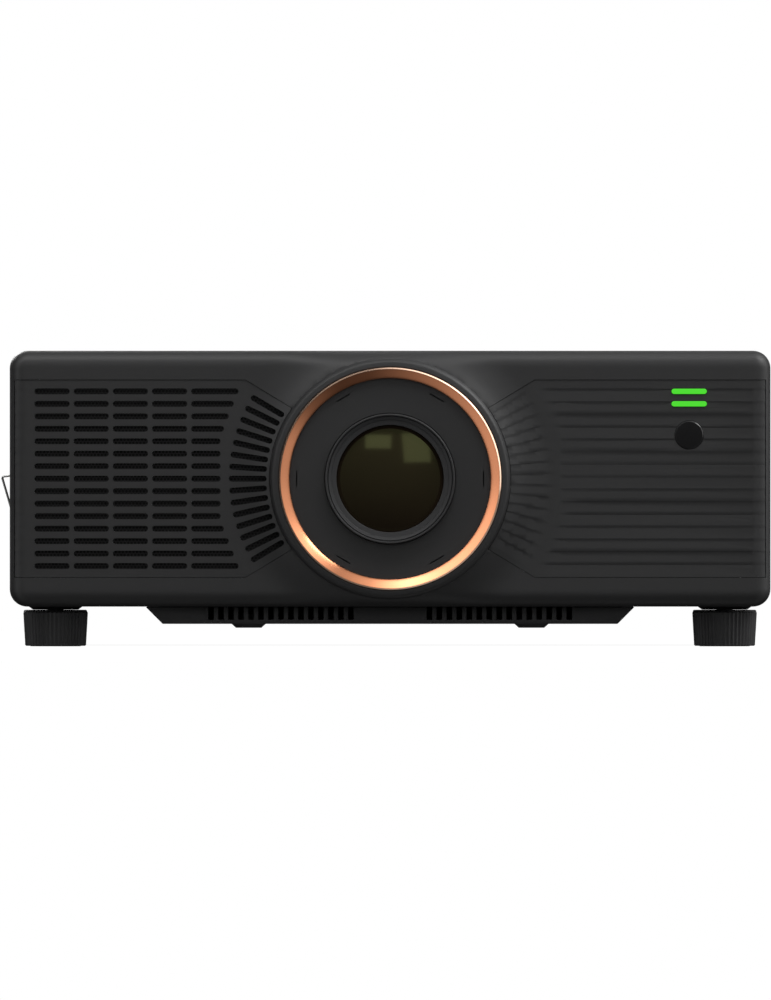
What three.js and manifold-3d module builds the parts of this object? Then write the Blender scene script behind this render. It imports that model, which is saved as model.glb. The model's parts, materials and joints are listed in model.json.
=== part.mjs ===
// An installation projector: a wide moulded case on four screw feet, with a motor-driven lens,
// an intake grille, exhaust fans, a laser light engine and its electronics.
// Millimetres, +Z up, the lens looks along -Y.
// The origin is the middle of the base tray's flat underside.
import * as THREE from 'three';
import { mergeVertices } from 'three/addons/utils/BufferGeometryUtils.js';
import Module from 'manifold-3d';

const wasm = await Module();
wasm.setup();

// ---- Driving dimensions ----
const BODY_WIDTH = 500;
const BODY_DEPTH = 470;
const BODY_HEIGHT = 168.2;
const CORNER_RADIUS = 11.5;
const EDGE_FILLET = 10;
const WALL = 2.5;
const GAP = 0.3; // clearance between pieces that fit together
const BEZEL_DEPTH = 30;
const COVER_SKIRT = 15; // how far the top cover reaches down the sides

const TRAY = { height: 11.4, halfWidth: 161, depth: 380, setback: 25 };
const VENT = { count: 15, pitch: 6.57, width: 3.7, height: 8.7, firstX: 25.8 };
const PAD = {
  x: 93.3, y: 130, height: 2.8, topRadius: 11.55, bottomRadius: 8.85, topGap: 2,
  holeRadius: 2.6, holeDepth: 9,
};
const AIR_WINDOW = { setback: 30, depth: 30 }; // opening in the case floor behind the tray's front wall

const FOOT = {
  frontInsetX: 29.8, rearInsetX: 26.3, insetY: 50, knobTopRadius: 21.25, knobBottomRadius: 20.1,
  knobHeight: 22.9, knobGap: 1.3,
  studRadius: 3.1, studReach: 20, collarRadius: 5.45, collarHeight: 1, soleRadius: 17, soleHeight: 2,
};
const FOOT_BOSS = { topRadius: 17.75, bottomRadius: 15.4, height: 2, towerRadius: 8, towerCap: 3 };
const RIB = { thickness: 3, endGap: 5 };

const COWL = {
  flareRadius: 106, outerRadius: 79.2, crownRadius: 76.5, boreRadius: 73.3,
  rise: 8, crown: 3, lip: 0.5, sleeve: 13,
};
const WINDOW = { border: 19, edge: 3, shoulderX: 95, arcAngle: 35.9 };
const SLOT = { pitch: 8.2, height: 3.8, length: 23.1, columnPitch: 25.75, edgeMargin: 16.3, rowMargin: 5.8 };
const INNER_SLOT = { startX: 130.7, topEndX: 99.6, endX: 111.4, slope: 0.39 };
const RAY = { count: 15, angle: 4.37, innerRadius: 81.1, outerRadius: 106 };
const GROOVE = { depth: 0.6, height: 0.8, offset: 1.2 };
const LIGHT_BAR = { x: 196.5, length: 23.2, height: 3.5, depth: 4, proud: 0.3 };
const RECEIVER = { z: 28.7, radius: 9.35, depth: 3, proud: 0.2 };
const MESH_SHEET = { thickness: 0.8, inset: 1 };

const TRIM_RING = { innerRadius: 66, chamfer: 0.8, depth: 6.5, proud: 1, cone: 4, rearGap: 0.5 };
const BAFFLE = { radius: 71.3, thickness: 2, slitRadius: 61.4, slitLength: 10.5, slitWidth: 0.7, slits: 6 };
const LENS = { radius: 42.7, proud: 14.5, lip: 1.5, wall: 5.7, seatDepth: 16.5, tailGap: 1, chamfer: 0.5 };
const LENS_SHOULDER = { height: 3.3, length: 3.7 };
const RETAINER = { width: 5.7, face: 0.8, cone: 2.5, depth: 6.2 };
const GLASS = { curve: 120, setback: 2 };
const SHIFT = { vertical: 4, horizontal: 3, clearance: 2 };
const GEAR = {
  module: 2.5, rim: 9.8, pinionTeeth: 12, width: 8, setback: 45, backlash: 0.5, motorAngle: 40,
  pressureAngle: 20, ringAddendum: 0.7, pinionAddendum: 0.8, dedendum: 1.2, pinionOverhang: 1,
};
const MOTOR = { radius: 12, shaftRadius: 2.5, shaftLength: 6 };
const HOLDER = { sideBorder: 20.3, topBorder: 12.3, thickness: 8, back: 92.4, collar: 6, bore: 0.5 };
const CARRIAGE = { border: 4, thickness: 6 };
const MOUNT = { border: 2, thickness: 6 };
const RAIL = { width: 6, play: 0.4 };

const FAN = {
  size: 120, depth: 25, boreRadius: 57, hubRadius: 19, bladeRadius: 55, blades: 7, bladePitch: 35, chord: 19,
  bladeThickness: 1.6, bladeRoot: 4, rotorFront: 2, spokeDepth: 3, spokeWidth: 5,
  holeRadius: 2.2, holeInset: 7.5,
};
const FAN_PLACE = { wallGap: 12, frontGap: 5, rearGap: 10, spacing: 5, ribInset: 6 };
const REAR_BORDER = 15;
const REAR_RECESS = 1;
const EXHAUST = { rows: 12, pitch: 8.8, height: 3.8, width: 104 };

const INLET = { y: 105, z: 59.5, blockLength: 68, blockHeight: 30, blockDepth: 27, recess: 0.2 };
const SOCKET = { length: 24.5, height: 16.6, depth: 17, offset: -14 };
const ROCKER = {
  length: 19, height: 13, offset: 19, tilt: 7, wellDepth: 9, faceReach: 3, pivotDepth: 4,
  wellEnd: 0.8, wellSide: 0.5, backReach: 2.5, backStep: 1.5, backShare: 0.55,
};
const CLIP = { wire: 1.2, halfWidth: 18, kneeRise: 26, kneeOut: 7.5, barRise: 27, pivotInset: 2 };

const BUTTON = { radius: 4.5, proud: 0.8, flange: 1.3, flangeThickness: 1, chamfer: 0.4, pitch: 16 };
const KEYPAD = { x: -90, z: 103 };
const PORTS = { z: 40, boardDrop: 4.5, depth: 16, wall: 1 };

const ENGINE = { length: 95, sideGap: 2, floorGap: 20, roofGap: 24, throatDepth: 30 };
const LASER = { engineGap: 18, wallGap: 38, before: 40, after: 80, drop: 20, sinkSetback: 50 };
const FINS = { count: 12, thickness: 2, base: 6 };
const SUPPLY = { wallGap: 13, engineGap: 30, setback: 45, reach: 50, lift: 6, height: 60 };
const BOARD = { thickness: 1.6, wallGap: 25, innerEdge: -30, supplyGap: 12, rearGap: 14, imagerInset: 8 };
const WHEEL = { radius: 32, thickness: 1.4, hubRadius: 11, hubReach: 5, motorGap: 0.6, setback: 14 };
const WHEEL_MOTOR = { radius: 14, length: 22, ribNear: 2, ribFar: 20, ribHalf: 12 };

// ---- Derived places ----
const floor = TRAY.height;
const roof = floor + BODY_HEIGHT;
const middle = (floor + roof) / 2;
const front = -BODY_DEPTH / 2;
const back = BODY_DEPTH / 2;
const side = BODY_WIDTH / 2;
const split = roof - COVER_SKIRT;
const caseFront = front + BEZEL_DEPTH + GAP;
const rearFace = back - REAR_RECESS;
const rearInside = rearFace - WALL;
const windowHalf = BODY_HEIGHT / 2 - WINDOW.border;
const seatRadius = LENS.radius - LENS.lip;
const boreRadius = LENS.radius - LENS.wall;
const ringTeeth = Math.round((2 * (LENS.radius + GEAR.rim)) / GEAR.module);
const FAR = 1000; // beyond every piece, for trimming blocks

// ---- Solid helpers ----

/** A closed three.js geometry as a solid that can be cut and joined. */
function solid(geometry) {
  const bare = geometry.clone();
  bare.deleteAttribute('normal');
  bare.deleteAttribute('uv');
  const merged = mergeVertices(bare, 1e-4);
  const kept = [];
  const index = merged.index.array;
  for (let i = 0; i < index.length; i += 3) {
    const [a, b, c] = [index[i], index[i + 1], index[i + 2]];
    if (a !== b && b !== c && c !== a) kept.push(a, b, c);
  }
  const mesh = new wasm.Mesh({
    numProp: 3,
    vertProperties: new Float32Array(merged.attributes.position.array),
    triVerts: new Uint32Array(kept),
  });
  return new wasm.Manifold(mesh);
}

/** The surface of a solid as a three.js geometry. */
function surface(body) {
  const mesh = body.getMesh();
  const geometry = new THREE.BufferGeometry();
  geometry.setAttribute('position', new THREE.BufferAttribute(mesh.vertProperties, 3));
  geometry.setIndex(new THREE.BufferAttribute(mesh.triVerts, 1));
  const flat = geometry.toNonIndexed();
  flat.computeVertexNormals();
  return flat;
}

/** Several solids joined into one. */
function join(bodies) {
  return bodies.reduce((whole, body) => whole.add(body));
}

/** A block between the low and high value of each axis. */
function block(x, y, z) {
  const geometry = new THREE.BoxGeometry(x[1] - x[0], y[1] - y[0], z[1] - z[0]);
  geometry.translate((x[0] + x[1]) / 2, (y[0] + y[1]) / 2, (z[0] + z[1]) / 2);
  return solid(geometry);
}

/** A block centred on 0 along X, given by half its width. */
function centredBlock(halfWidth, y, z) {
  return block([-halfWidth, halfWidth], y, z);
}

/** An outline of [x, z] points pushed along Y from near to far. */
function prism(outline, near, far) {
  const shape = outline instanceof THREE.Shape ? outline : shapeOf(outline);
  const settings = { depth: far - near, bevelEnabled: false, curveSegments: 2 };
  const geometry = new THREE.ExtrudeGeometry(shape, settings);
  geometry.rotateX(Math.PI / 2);
  geometry.translate(0, far, 0);
  return solid(geometry);
}

/** A straight-sided shape through the given points. */
function shapeOf(points) {
  return new THREE.Shape(points.map(([u, v]) => new THREE.Vector2(u, v)));
}

/** A closed outline of [radius, along] points spun about an axis through 0. */
function spin(profile, segments, axis = 'y') {
  const points = profile.map(([radius, along]) => new THREE.Vector2(radius, along));
  if (THREE.ShapeUtils.area(points) < 0) points.reverse();
  points.push(points[0].clone());
  const geometry = new THREE.LatheGeometry(points, segments);
  if (axis === 'z') geometry.rotateX(Math.PI / 2);
  return solid(geometry);
}

/** A plain rod about the Y axis, or the Z axis. */
function rod(radius, near, far, segments, axis = 'y') {
  return spin([[0, near], [radius, near], [radius, far], [0, far]], segments, axis);
}

/** A rectangle with round corners as a shape centred on 0. */
function roundedRectangle(width, height, radius) {
  const [x, y] = [width / 2 - radius, height / 2 - radius];
  const shape = new THREE.Shape();
  shape.absarc(x, y, radius, 0, Math.PI / 2);
  shape.absarc(-x, y, radius, Math.PI / 2, Math.PI);
  shape.absarc(-x, -y, radius, Math.PI, Math.PI * 1.5);
  shape.absarc(x, -y, radius, Math.PI * 1.5, Math.PI * 2);
  return shape;
}

/** The case's outside, or with an inset its inside, as a block with rounded edges and corners. */
function caseBlock(inset, forward, fillet) {
  const width = BODY_WIDTH - 2 * inset;
  const height = BODY_HEIGHT - 2 * inset;
  const depth = BODY_DEPTH - 2 * inset + forward;
  const corner = Math.max(CORNER_RADIUS - inset, fillet) - fillet + 1.5;
  const shape = roundedRectangle(width - 2 * fillet, height - 2 * fillet, corner);
  const geometry = new THREE.ExtrudeGeometry(shape, {
    depth: depth - 2 * fillet, bevelThickness: fillet, bevelSize: fillet, bevelSegments: 4, curveSegments: 3,
  });
  geometry.translate(0, 0, -(depth - 2 * fillet) / 2);
  geometry.rotateX(Math.PI / 2);
  geometry.translate(0, -forward / 2, middle);
  return solid(geometry);
}

/** A slot outline with round ends, centred on 0 along X. */
function slotOutline(length, height) {
  const radius = height / 2;
  const shape = new THREE.Shape();
  shape.absarc(length / 2 - radius, 0, radius, -Math.PI / 2, Math.PI / 2);
  shape.absarc(-length / 2 + radius, 0, radius, Math.PI / 2, Math.PI * 1.5);
  return shape;
}

// ---- Scene helpers ----
const projector = new THREE.Group();

const FINISH = {
  caseBlack: { color: 0x2b2c2c, roughness: 0.55, metalness: 0 },
  softBlack: { color: 0x232424, roughness: 0.75, metalness: 0 },
  darkMetal: { color: 0x3c3e40, roughness: 0.45, metalness: 0.8 },
  aluminium: { color: 0x9a9ca0, roughness: 0.4, metalness: 0.9 },
  copper: { color: 0xc88a5c, roughness: 0.28, metalness: 1 },
  glass: { color: 0x1b1d14, roughness: 0.05, metalness: 0 },
  greenLight: { color: 0x50e132, roughness: 0.4, metalness: 0 },
  board: { color: 0x1d4a2e, roughness: 0.6, metalness: 0 },
  rubber: { color: 0x1a1a1a, roughness: 0.9, metalness: 0 },
  steel: { color: 0xa8a8a8, roughness: 0.3, metalness: 1 },
};

/** A solid as a named mesh with its own finish, put in a group at a place. */
function addPart(name, body, finish, group = projector, place = [0, 0, 0]) {
  const mesh = new THREE.Mesh(surface(body), new THREE.MeshStandardMaterial(FINISH[finish]));
  mesh.name = name;
  mesh.position.set(...place);
  group.add(mesh);
  return mesh;
}

/** A group at a place, inside another group. */
function addGroup(place, parent = projector) {
  const group = new THREE.Group();
  group.position.set(...place);
  parent.add(group);
  return group;
}

// ---- Housing ----

/** The flare that lifts the front towards the lens, as a spun solid whose face is moved back by an inset. */
function flare(inset) {
  const steps = 3;
  const face = [];
  for (let i = 0; i <= steps; i++) {
    const share = i / steps;
    const radius = COWL.flareRadius + (COWL.outerRadius - COWL.flareRadius) * share;
    face.push([radius, front - COWL.rise * share * share + inset]);
  }
  const deep = front + EDGE_FILLET + inset;
  const profile = [[0, deep], [COWL.flareRadius, deep], ...face, [0, front - COWL.rise + inset]];
  return spin(profile, 36).translate([0, 0, middle]);
}

/** The closed shell of the case, with the lens flare on its front. */
function caseShell() {
  const envelope = caseBlock(0, COWL.rise + 2, EDGE_FILLET + 4);
  const outside = caseBlock(0, 0, EDGE_FILLET).add(flare(0).intersect(envelope));
  const innerEnvelope = caseBlock(WALL, COWL.rise + 2, EDGE_FILLET + 4 - WALL);
  const inside = caseBlock(WALL, 0, EDGE_FILLET - WALL).add(flare(WALL).intersect(innerEnvelope));
  return outside.subtract(inside);
}

/** The two ends of the slanted edge of a panel window that is moved in by an inset: shoulder, then arc. */
function windowCorners(inset) {
  const shoulder = new THREE.Vector2(WINDOW.shoulderX, windowHalf);
  const angle = THREE.MathUtils.degToRad(WINDOW.arcAngle);
  const foot = new THREE.Vector2(Math.cos(angle), Math.sin(angle)).multiplyScalar(COWL.outerRadius);
  const along = foot.clone().sub(shoulder).normalize();
  const inward = new THREE.Vector2(-along.y, along.x);
  const start = shoulder.clone().addScaledVector(inward, inset);
  start.addScaledVector(along, (windowHalf - inset - start.y) / along.y);
  const radius = COWL.outerRadius + inset;
  const reach = start.dot(along);
  const travel = -reach - Math.sqrt(reach * reach - start.lengthSq() + radius * radius);
  return [start, start.clone().addScaledVector(along, travel)];
}

/** The outline of a front panel window on the +X side, moved in by an inset, its outer edge at outerX. */
function windowOutline(inset, outerX) {
  const [start, end] = windowCorners(inset);
  const radius = COWL.outerRadius + inset;
  const limit = Math.atan2(end.y, end.x);
  const top = windowHalf - inset;
  const points = [[outerX, -top], [outerX, top], [start.x, top]];
  const steps = 8;
  for (let i = 0; i <= steps; i++) {
    const angle = limit * (1 - (2 * i) / steps);
    points.push([radius * Math.cos(angle), radius * Math.sin(angle)]);
  }
  points.push([start.x, -top]);
  return points;
}

/** A front panel's solid outline, pushed along Y, on the side given by a sign. */
function windowPrism(inset, outerX, sign, near, far) {
  const points = windowOutline(inset, outerX).map(([x, z]) => [sign * x, z]);
  return prism(points, near, far).translate([0, 0, middle]);
}

/** The rows of the front panels, as heights from the middle. */
function panelRows() {
  const half = Math.floor((windowHalf - SLOT.height / 2 - SLOT.rowMargin) / SLOT.pitch + 1e-6);
  return Array.from({ length: 2 * half + 1 }, (_, i) => (i - half) * SLOT.pitch);
}

/** How close to the lens a row's slot or groove comes. */
function rowEnd(height, rows) {
  const below = rows[rows.length - 1] - Math.abs(height);
  return Math.min(INNER_SLOT.endX, INNER_SLOT.topEndX + INNER_SLOT.slope * below);
}

/** One bar with round ends, between two X values at a height, through the front. */
function slotBar(low, high, height, z, near, far) {
  return prism(slotOutline(high - low, height), near, far).translate([(low + high) / 2, 0, z]);
}

/** The fan of radial bars beside the lens, on the side given by a sign. */
function rayBars(sign, width, near, far) {
  const length = RAY.outerRadius - RAY.innerRadius;
  const first = (RAY.count - 1) / 2;
  const bars = [];
  for (let i = 0; i < RAY.count; i++) {
    const bar = prism(slotOutline(length, width), near, far).translate([RAY.innerRadius + length / 2, 0, 0]);
    const placed = bar.rotate([0, (i - first) * RAY.angle, 0]);
    bars.push(sign > 0 ? placed : placed.mirror([1, 0, 0]));
  }
  return join(bars).translate([0, 0, middle]);
}

const shell = caseShell();
const windowEdge = side - WINDOW.edge;
const windowDeep = front + EDGE_FILLET + WALL;
const slotNear = front - COWL.rise - COWL.crown;
const slotFar = front + WALL + 2;

function frontBezel() {
  const near = slotNear - 5;
  const region = block([-FAR, FAR], [-FAR, front + BEZEL_DEPTH], [-FAR, FAR]);
  const throat = rod((COWL.outerRadius + COWL.crownRadius) / 2, near, 0, 48).translate([0, 0, middle]);
  const crownFace = front - COWL.rise - COWL.crown;
  const ledge = front - TRIM_RING.depth + TRIM_RING.proud;
  const innerRadius = COWL.outerRadius - WALL;
  const cowl = spin([
    [innerRadius, front + COWL.sleeve], [COWL.outerRadius, front + COWL.sleeve],
    [COWL.outerRadius, front - COWL.rise], [COWL.crownRadius, crownFace],
    [COWL.boreRadius, crownFace - COWL.lip], [COWL.boreRadius, ledge], [innerRadius, ledge],
  ], 48).translate([0, 0, middle]);
  const windows = join([-1, 1].map((sign) => windowPrism(0, windowEdge, sign, near, windowDeep + 8)));
  return shell.intersect(region).subtract(throat).subtract(windows).add(cowl);
}

function panelBlank(sign) {
  return shell.intersect(windowPrism(GAP, windowEdge - GAP, sign, slotNear - 5, windowDeep));
}

function leftGrille() {
  const rows = panelRows();
  const span = side - SLOT.edgeMargin - INNER_SLOT.startX;
  const columns = Math.floor(span / SLOT.columnPitch + 1e-6);
  const bars = [];
  for (const row of rows) {
    bars.push(slotBar(-INNER_SLOT.startX, -rowEnd(row, rows), SLOT.height, middle + row, slotNear, slotFar));
    for (let column = 0; column < columns; column++) {
      const low = -(side - SLOT.edgeMargin) + column * SLOT.columnPitch;
      bars.push(slotBar(low, low + SLOT.length, SLOT.height, middle + row, slotNear, slotFar));
    }
  }
  bars.push(rayBars(-1, SLOT.height, slotNear, slotFar));
  return panelBlank(-1).subtract(join(bars));
}

/** Heights of the two light bars: the two uppermost rows. */
function lightRows() {
  return panelRows().slice(-2).reverse();
}

function rightPanel() {
  const rows = panelRows();
  const cuts = [];
  for (const row of rows) {
    const z = middle + row + GROOVE.offset;
    const across = [rowEnd(row, rows), windowEdge - EDGE_FILLET];
    cuts.push(block(across, [front - 1, front + GROOVE.depth], [z, z + GROOVE.height]));
  }
  for (const row of lightRows()) {
    const half = LIGHT_BAR.length / 2 + GAP;
    const height = LIGHT_BAR.height + 2 * GAP;
    cuts.push(slotBar(LIGHT_BAR.x - half, LIGHT_BAR.x + half, height, middle + row, slotNear, slotFar));
  }
  const hole = rod(RECEIVER.radius + GAP, slotNear, slotFar, 32);
  cuts.push(hole.translate([LIGHT_BAR.x, 0, middle + RECEIVER.z]));
  return panelBlank(1).subtract(join(cuts));
}

function addStatusLights() {
  const names = ['status_light_upper', 'status_light_lower'];
  lightRows().forEach((row, i) => {
    const outline = slotOutline(LIGHT_BAR.length, LIGHT_BAR.height);
    const bar = prism(outline, -LIGHT_BAR.proud, LIGHT_BAR.depth - LIGHT_BAR.proud);
    addPart(names[i], bar, 'greenLight', projector, [LIGHT_BAR.x, front, middle + row]);
  });
}

function addReceiverWindow() {
  const lens = rod(RECEIVER.radius, -RECEIVER.proud, RECEIVER.depth - RECEIVER.proud, 32);
  addPart('ir_window', lens, 'glass', projector, [LIGHT_BAR.x, front, middle + RECEIVER.z]);
}

function grilleMesh() {
  const near = front + WALL + GAP;
  return windowPrism(MESH_SHEET.inset, side - EDGE_FILLET, -1, near, near + MESH_SHEET.thickness);
}

/** The four corners of the case where feet stand, with the names that their pieces carry. */
function footPlaces() {
  const [frontX, rearX] = [side - FOOT.frontInsetX, side - FOOT.rearInsetX];
  const y = back - FOOT.insetY;
  return [
    { name: 'front_left', x: -frontX, y: -y }, { name: 'front_right', x: frontX, y: -y },
    { name: 'rear_left', x: -rearX, y }, { name: 'rear_right', x: rearX, y },
  ];
}

const towerTop = floor + FOOT.studReach + FOOT_BOSS.towerCap;

/** Boss and inner tower that take a foot's stud. */
function footBoss(place) {
  const top = floor + WALL / 2;
  const cone = spin([
    [0, floor - FOOT_BOSS.height], [FOOT_BOSS.bottomRadius, floor - FOOT_BOSS.height],
    [FOOT_BOSS.topRadius, floor], [FOOT_BOSS.topRadius, top], [0, top],
  ], 24, 'z');
  const tower = rod(FOOT_BOSS.towerRadius, floor, towerTop, 12, 'z');
  return cone.add(tower).translate([place.x, place.y, 0]);
}

/** Two ribs from the floor up to just under a piece that they carry. */
function supportRibs(x, y, underside) {
  const z = [floor + WALL / 2, underside - GAP];
  return [x[0], x[1] - RIB.thickness].map((low) => block([low, low + RIB.thickness], y, z));
}

/** Cut for the mains inlet block in the left wall. */
function inletCut() {
  const [halfY, halfZ] = [INLET.blockLength / 2 + GAP, INLET.blockHeight / 2 + GAP];
  const z = floor + INLET.z;
  return block([-side - 5, -side + 20], [INLET.y - halfY, INLET.y + halfY], [z - halfZ, z + halfZ]);
}

function lowerCase(ribs) {
  const region = block([-FAR, FAR], [caseFront, FAR], [-FAR, split - GAP / 2]);
  const windowZ = [floor + REAR_BORDER, FAR];
  const rearWindow = centredBlock(side - REAR_BORDER, [back - REAR_BORDER, FAR], windowZ);
  const places = footPlaces();
  const holes = places.map((place) =>
    rod(FOOT.studRadius + GAP, floor - 10, towerTop + 1, 12, 'z').translate([place.x, place.y, 0]));
  const air = [-1, 1].map((sign) => ventWindow(sign));
  const walls = shell.intersect(region).subtract(rearWindow).subtract(inletCut()).subtract(join(air));
  return join([walls, ...places.map(footBoss), ...ribs]).subtract(join(holes));
}

/** Opening in the case floor over the tray, which leads the tray's air into the case. */
function ventWindow(sign) {
  const [near, far] = [VENT.firstX, VENT.firstX + (VENT.count - 1) * VENT.pitch];
  const low = front + TRAY.setback + AIR_WINDOW.setback;
  const y = [low, low + AIR_WINDOW.depth];
  return block(sign > 0 ? [near, far] : [-far, -near], y, [floor - WALL, floor + WALL + 1]);
}

function topCover() {
  return shell.intersect(block([-FAR, FAR], [caseFront, FAR], [split + GAP / 2, FAR]));
}

function baseTray() {
  const top = floor - GAP;
  const near = front + TRAY.setback;
  const far = near + TRAY.depth;
  const [low, high] = [TRAY.halfWidth - floor, TRAY.halfWidth - GAP];
  const outline = [[-low, 0], [low, 0], [high, top], [-high, top]];
  const [cavityLow, cavityHigh] = [low - 1, TRAY.halfWidth + 1 - WALL * 1.5];
  const cavity = [
    [-cavityLow, WALL], [cavityLow, WALL], [cavityHigh, floor + 1], [-cavityHigh, floor + 1],
  ];
  const cuts = [prism(cavity, near + WALL, far - WALL)];
  for (const sign of [-1, 1]) {
    for (let i = 0; i < VENT.count; i++) {
      const x = sign * (VENT.firstX + i * VENT.pitch);
      const z = [floor - VENT.height, floor + 1];
      cuts.push(block([x - VENT.width / 2, x + VENT.width / 2], [near - 1, near + WALL + 1], z));
    }
  }
  const pads = [];
  for (const x of [-PAD.x, PAD.x]) {
    for (const y of [-PAD.y, PAD.y]) {
      const pad = spin([
        [0, -PAD.height], [PAD.bottomRadius, -PAD.height], [PAD.topRadius, 0],
        [PAD.topRadius, floor - PAD.topGap], [0, floor - PAD.topGap],
      ], 16, 'z');
      pads.push(pad.translate([x, y, 0]));
      const hole = rod(PAD.holeRadius, -PAD.height - 1, PAD.holeDepth - PAD.height, 8, 'z');
      cuts.push(hole.translate([x, y, 0]));
    }
  }
  const [hollow, ...small] = cuts;
  return join([prism(outline, near, far).subtract(hollow), ...pads]).subtract(join(small));
}

// ---- Feet ----
function addFeet() {
  const knobTop = floor - FOOT_BOSS.height - FOOT.knobGap;
  const knobBottom = knobTop - FOOT.knobHeight;
  const recess = knobBottom + FOOT.soleHeight - GAP;
  const collarTop = knobTop + FOOT.collarHeight;
  const studTop = floor + FOOT.studReach;
  const knob = spin([
    [0, recess], [FOOT.soleRadius + GAP, recess], [FOOT.soleRadius + GAP, knobBottom + GAP],
    [FOOT.knobBottomRadius, knobBottom + GAP], [FOOT.knobTopRadius, knobTop],
    [FOOT.collarRadius, knobTop], [FOOT.collarRadius, collarTop],
    [FOOT.studRadius, collarTop], [FOOT.studRadius, studTop], [0, studTop],
  ], 20, 'z');
  const sole = rod(FOOT.soleRadius, knobBottom, recess - GAP, 20, 'z');
  for (const place of footPlaces()) {
    const foot = addGroup([place.x, place.y, 0]);
    addPart('foot_knob_' + place.name, knob, 'softBlack', foot);
    addPart('foot_sole_' + place.name, sole, 'rubber', foot);
  }
}

// ---- Lens and its shift and focus drives ----
const baffleFront = front - TRIM_RING.depth + TRIM_RING.proud + GAP;
const baffleBack = baffleFront + BAFFLE.thickness;

function lensTrimRing() {
  const outer = COWL.boreRadius - GAP;
  const face = front - COWL.rise - COWL.crown - COWL.lip - TRIM_RING.proud;
  const rear = baffleFront - TRIM_RING.rearGap;
  return spin([
    [TRIM_RING.innerRadius, rear], [outer, rear], [outer, face + TRIM_RING.chamfer],
    [outer - TRIM_RING.chamfer, face], [TRIM_RING.innerRadius, face + TRIM_RING.cone],
  ], 48);
}

function lensBaffle() {
  const plate = spin([
    [LENS.radius + GAP, baffleFront], [BAFFLE.radius, baffleFront],
    [BAFFLE.radius, baffleBack], [LENS.radius + GAP, baffleBack],
  ], 32);
  const slits = [];
  for (let i = 0; i < BAFFLE.slits; i++) {
    const slit = block(
      [BAFFLE.slitRadius - BAFFLE.slitWidth / 2, BAFFLE.slitRadius + BAFFLE.slitWidth / 2],
      [baffleFront - 1, baffleBack + 1], [-BAFFLE.slitLength / 2, BAFFLE.slitLength / 2]);
    slits.push(slit.rotate([0, (i * 360) / BAFFLE.slits, 0]));
  }
  return plate.subtract(join(slits));
}

const lensFront = front - LENS.proud;
const seatBack = lensFront + LENS.seatDepth;

function lensBarrel() {
  const shoulder = LENS.radius + LENS_SHOULDER.height;
  const near = baffleBack + GAP;
  const far = near + LENS_SHOULDER.length;
  const tail = mountFar - LENS.tailGap;
  return spin([
    [seatRadius, lensFront], [LENS.radius - LENS.chamfer, lensFront], [LENS.radius, lensFront + LENS.chamfer],
    [LENS.radius, near], [shoulder, near], [shoulder, far], [LENS.radius, far],
    [LENS.radius, tail], [boreRadius, tail], [boreRadius, seatBack], [seatRadius, seatBack],
  ], 36);
}

function lensRetainingRing() {
  const outer = seatRadius - GAP;
  const inner = outer - RETAINER.width;
  const near = lensFront + RETAINER.face;
  const rear = lensFront + RETAINER.depth;
  return spin([[outer, rear], [inner, rear], [inner, near + RETAINER.cone], [outer, near]], 36);
}

function frontGlass() {
  const radius = seatRadius - GAP;
  const centre = lensFront + GLASS.setback + GLASS.curve;
  const rear = seatBack - GAP;
  const steps = 4;
  const face = [];
  for (let i = 0; i <= steps; i++) {
    const r = (radius * i) / steps;
    face.push([r, centre - Math.sqrt(GLASS.curve * GLASS.curve - r * r)]);
  }
  return spin([...face, [radius, rear], [0, rear]], 32);
}

/** A point on a gear flank: the involute of the base circle at a radius, turned by half a tooth. */
function flankAngle(teeth, radius) {
  const pressure = THREE.MathUtils.degToRad(GEAR.pressureAngle);
  const pitchRadius = (GEAR.module * teeth) / 2;
  const baseRadius = pitchRadius * Math.cos(pressure);
  const roll = Math.acos(Math.min(1, baseRadius / Math.max(radius, baseRadius)));
  const involute = (angle) => Math.tan(angle) - angle;
  const halfTooth = (Math.PI * GEAR.module / 2 - GEAR.backlash) / (2 * pitchRadius);
  return halfTooth + involute(pressure) - involute(roll);
}

/** A gear's outline with its teeth, their addendum counted in modules, turned by an angle. */
function gearOutline(teeth, addendum, turn) {
  const pitchRadius = (GEAR.module * teeth) / 2;
  const root = pitchRadius - GEAR.dedendum * GEAR.module;
  const radii = [root, pitchRadius + addendum * GEAR.module];
  const points = [];
  for (let tooth = 0; tooth < teeth; tooth++) {
    const centre = (tooth * 2 * Math.PI) / teeth + turn;
    const flank = radii.map((radius) => [radius, flankAngle(teeth, radius)]);
    for (const [radius, angle] of flank) points.push([radius, centre - angle]);
    for (const [radius, angle] of flank.reverse()) points.push([radius, centre + angle]);
  }
  return points.map(([radius, angle]) => [radius * Math.cos(angle), radius * Math.sin(angle)]);
}

const gearNear = front + GEAR.setback;
const gearFar = gearNear + GEAR.width;
const holderNear = front + HOLDER.back;
const holderFar = holderNear + HOLDER.thickness;
const carriageNear = holderFar + GAP;
const carriageFar = carriageNear + CARRIAGE.thickness;
const mountNear = carriageFar + GAP;
const mountFar = mountNear + MOUNT.thickness;

function focusGear() {
  const blank = prism(gearOutline(ringTeeth, GEAR.ringAddendum, 0), gearNear, gearFar);
  return blank.subtract(rod(LENS.radius + RAIL.play, gearNear - 1, gearFar + 1, 32));
}

/** Where the focus motor's shaft runs, from the lens axis. */
function motorPlace() {
  const distance = (GEAR.module * (ringTeeth + GEAR.pinionTeeth)) / 2;
  const angle = THREE.MathUtils.degToRad(GEAR.motorAngle);
  return [distance * Math.cos(angle), distance * Math.sin(angle)];
}

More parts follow.
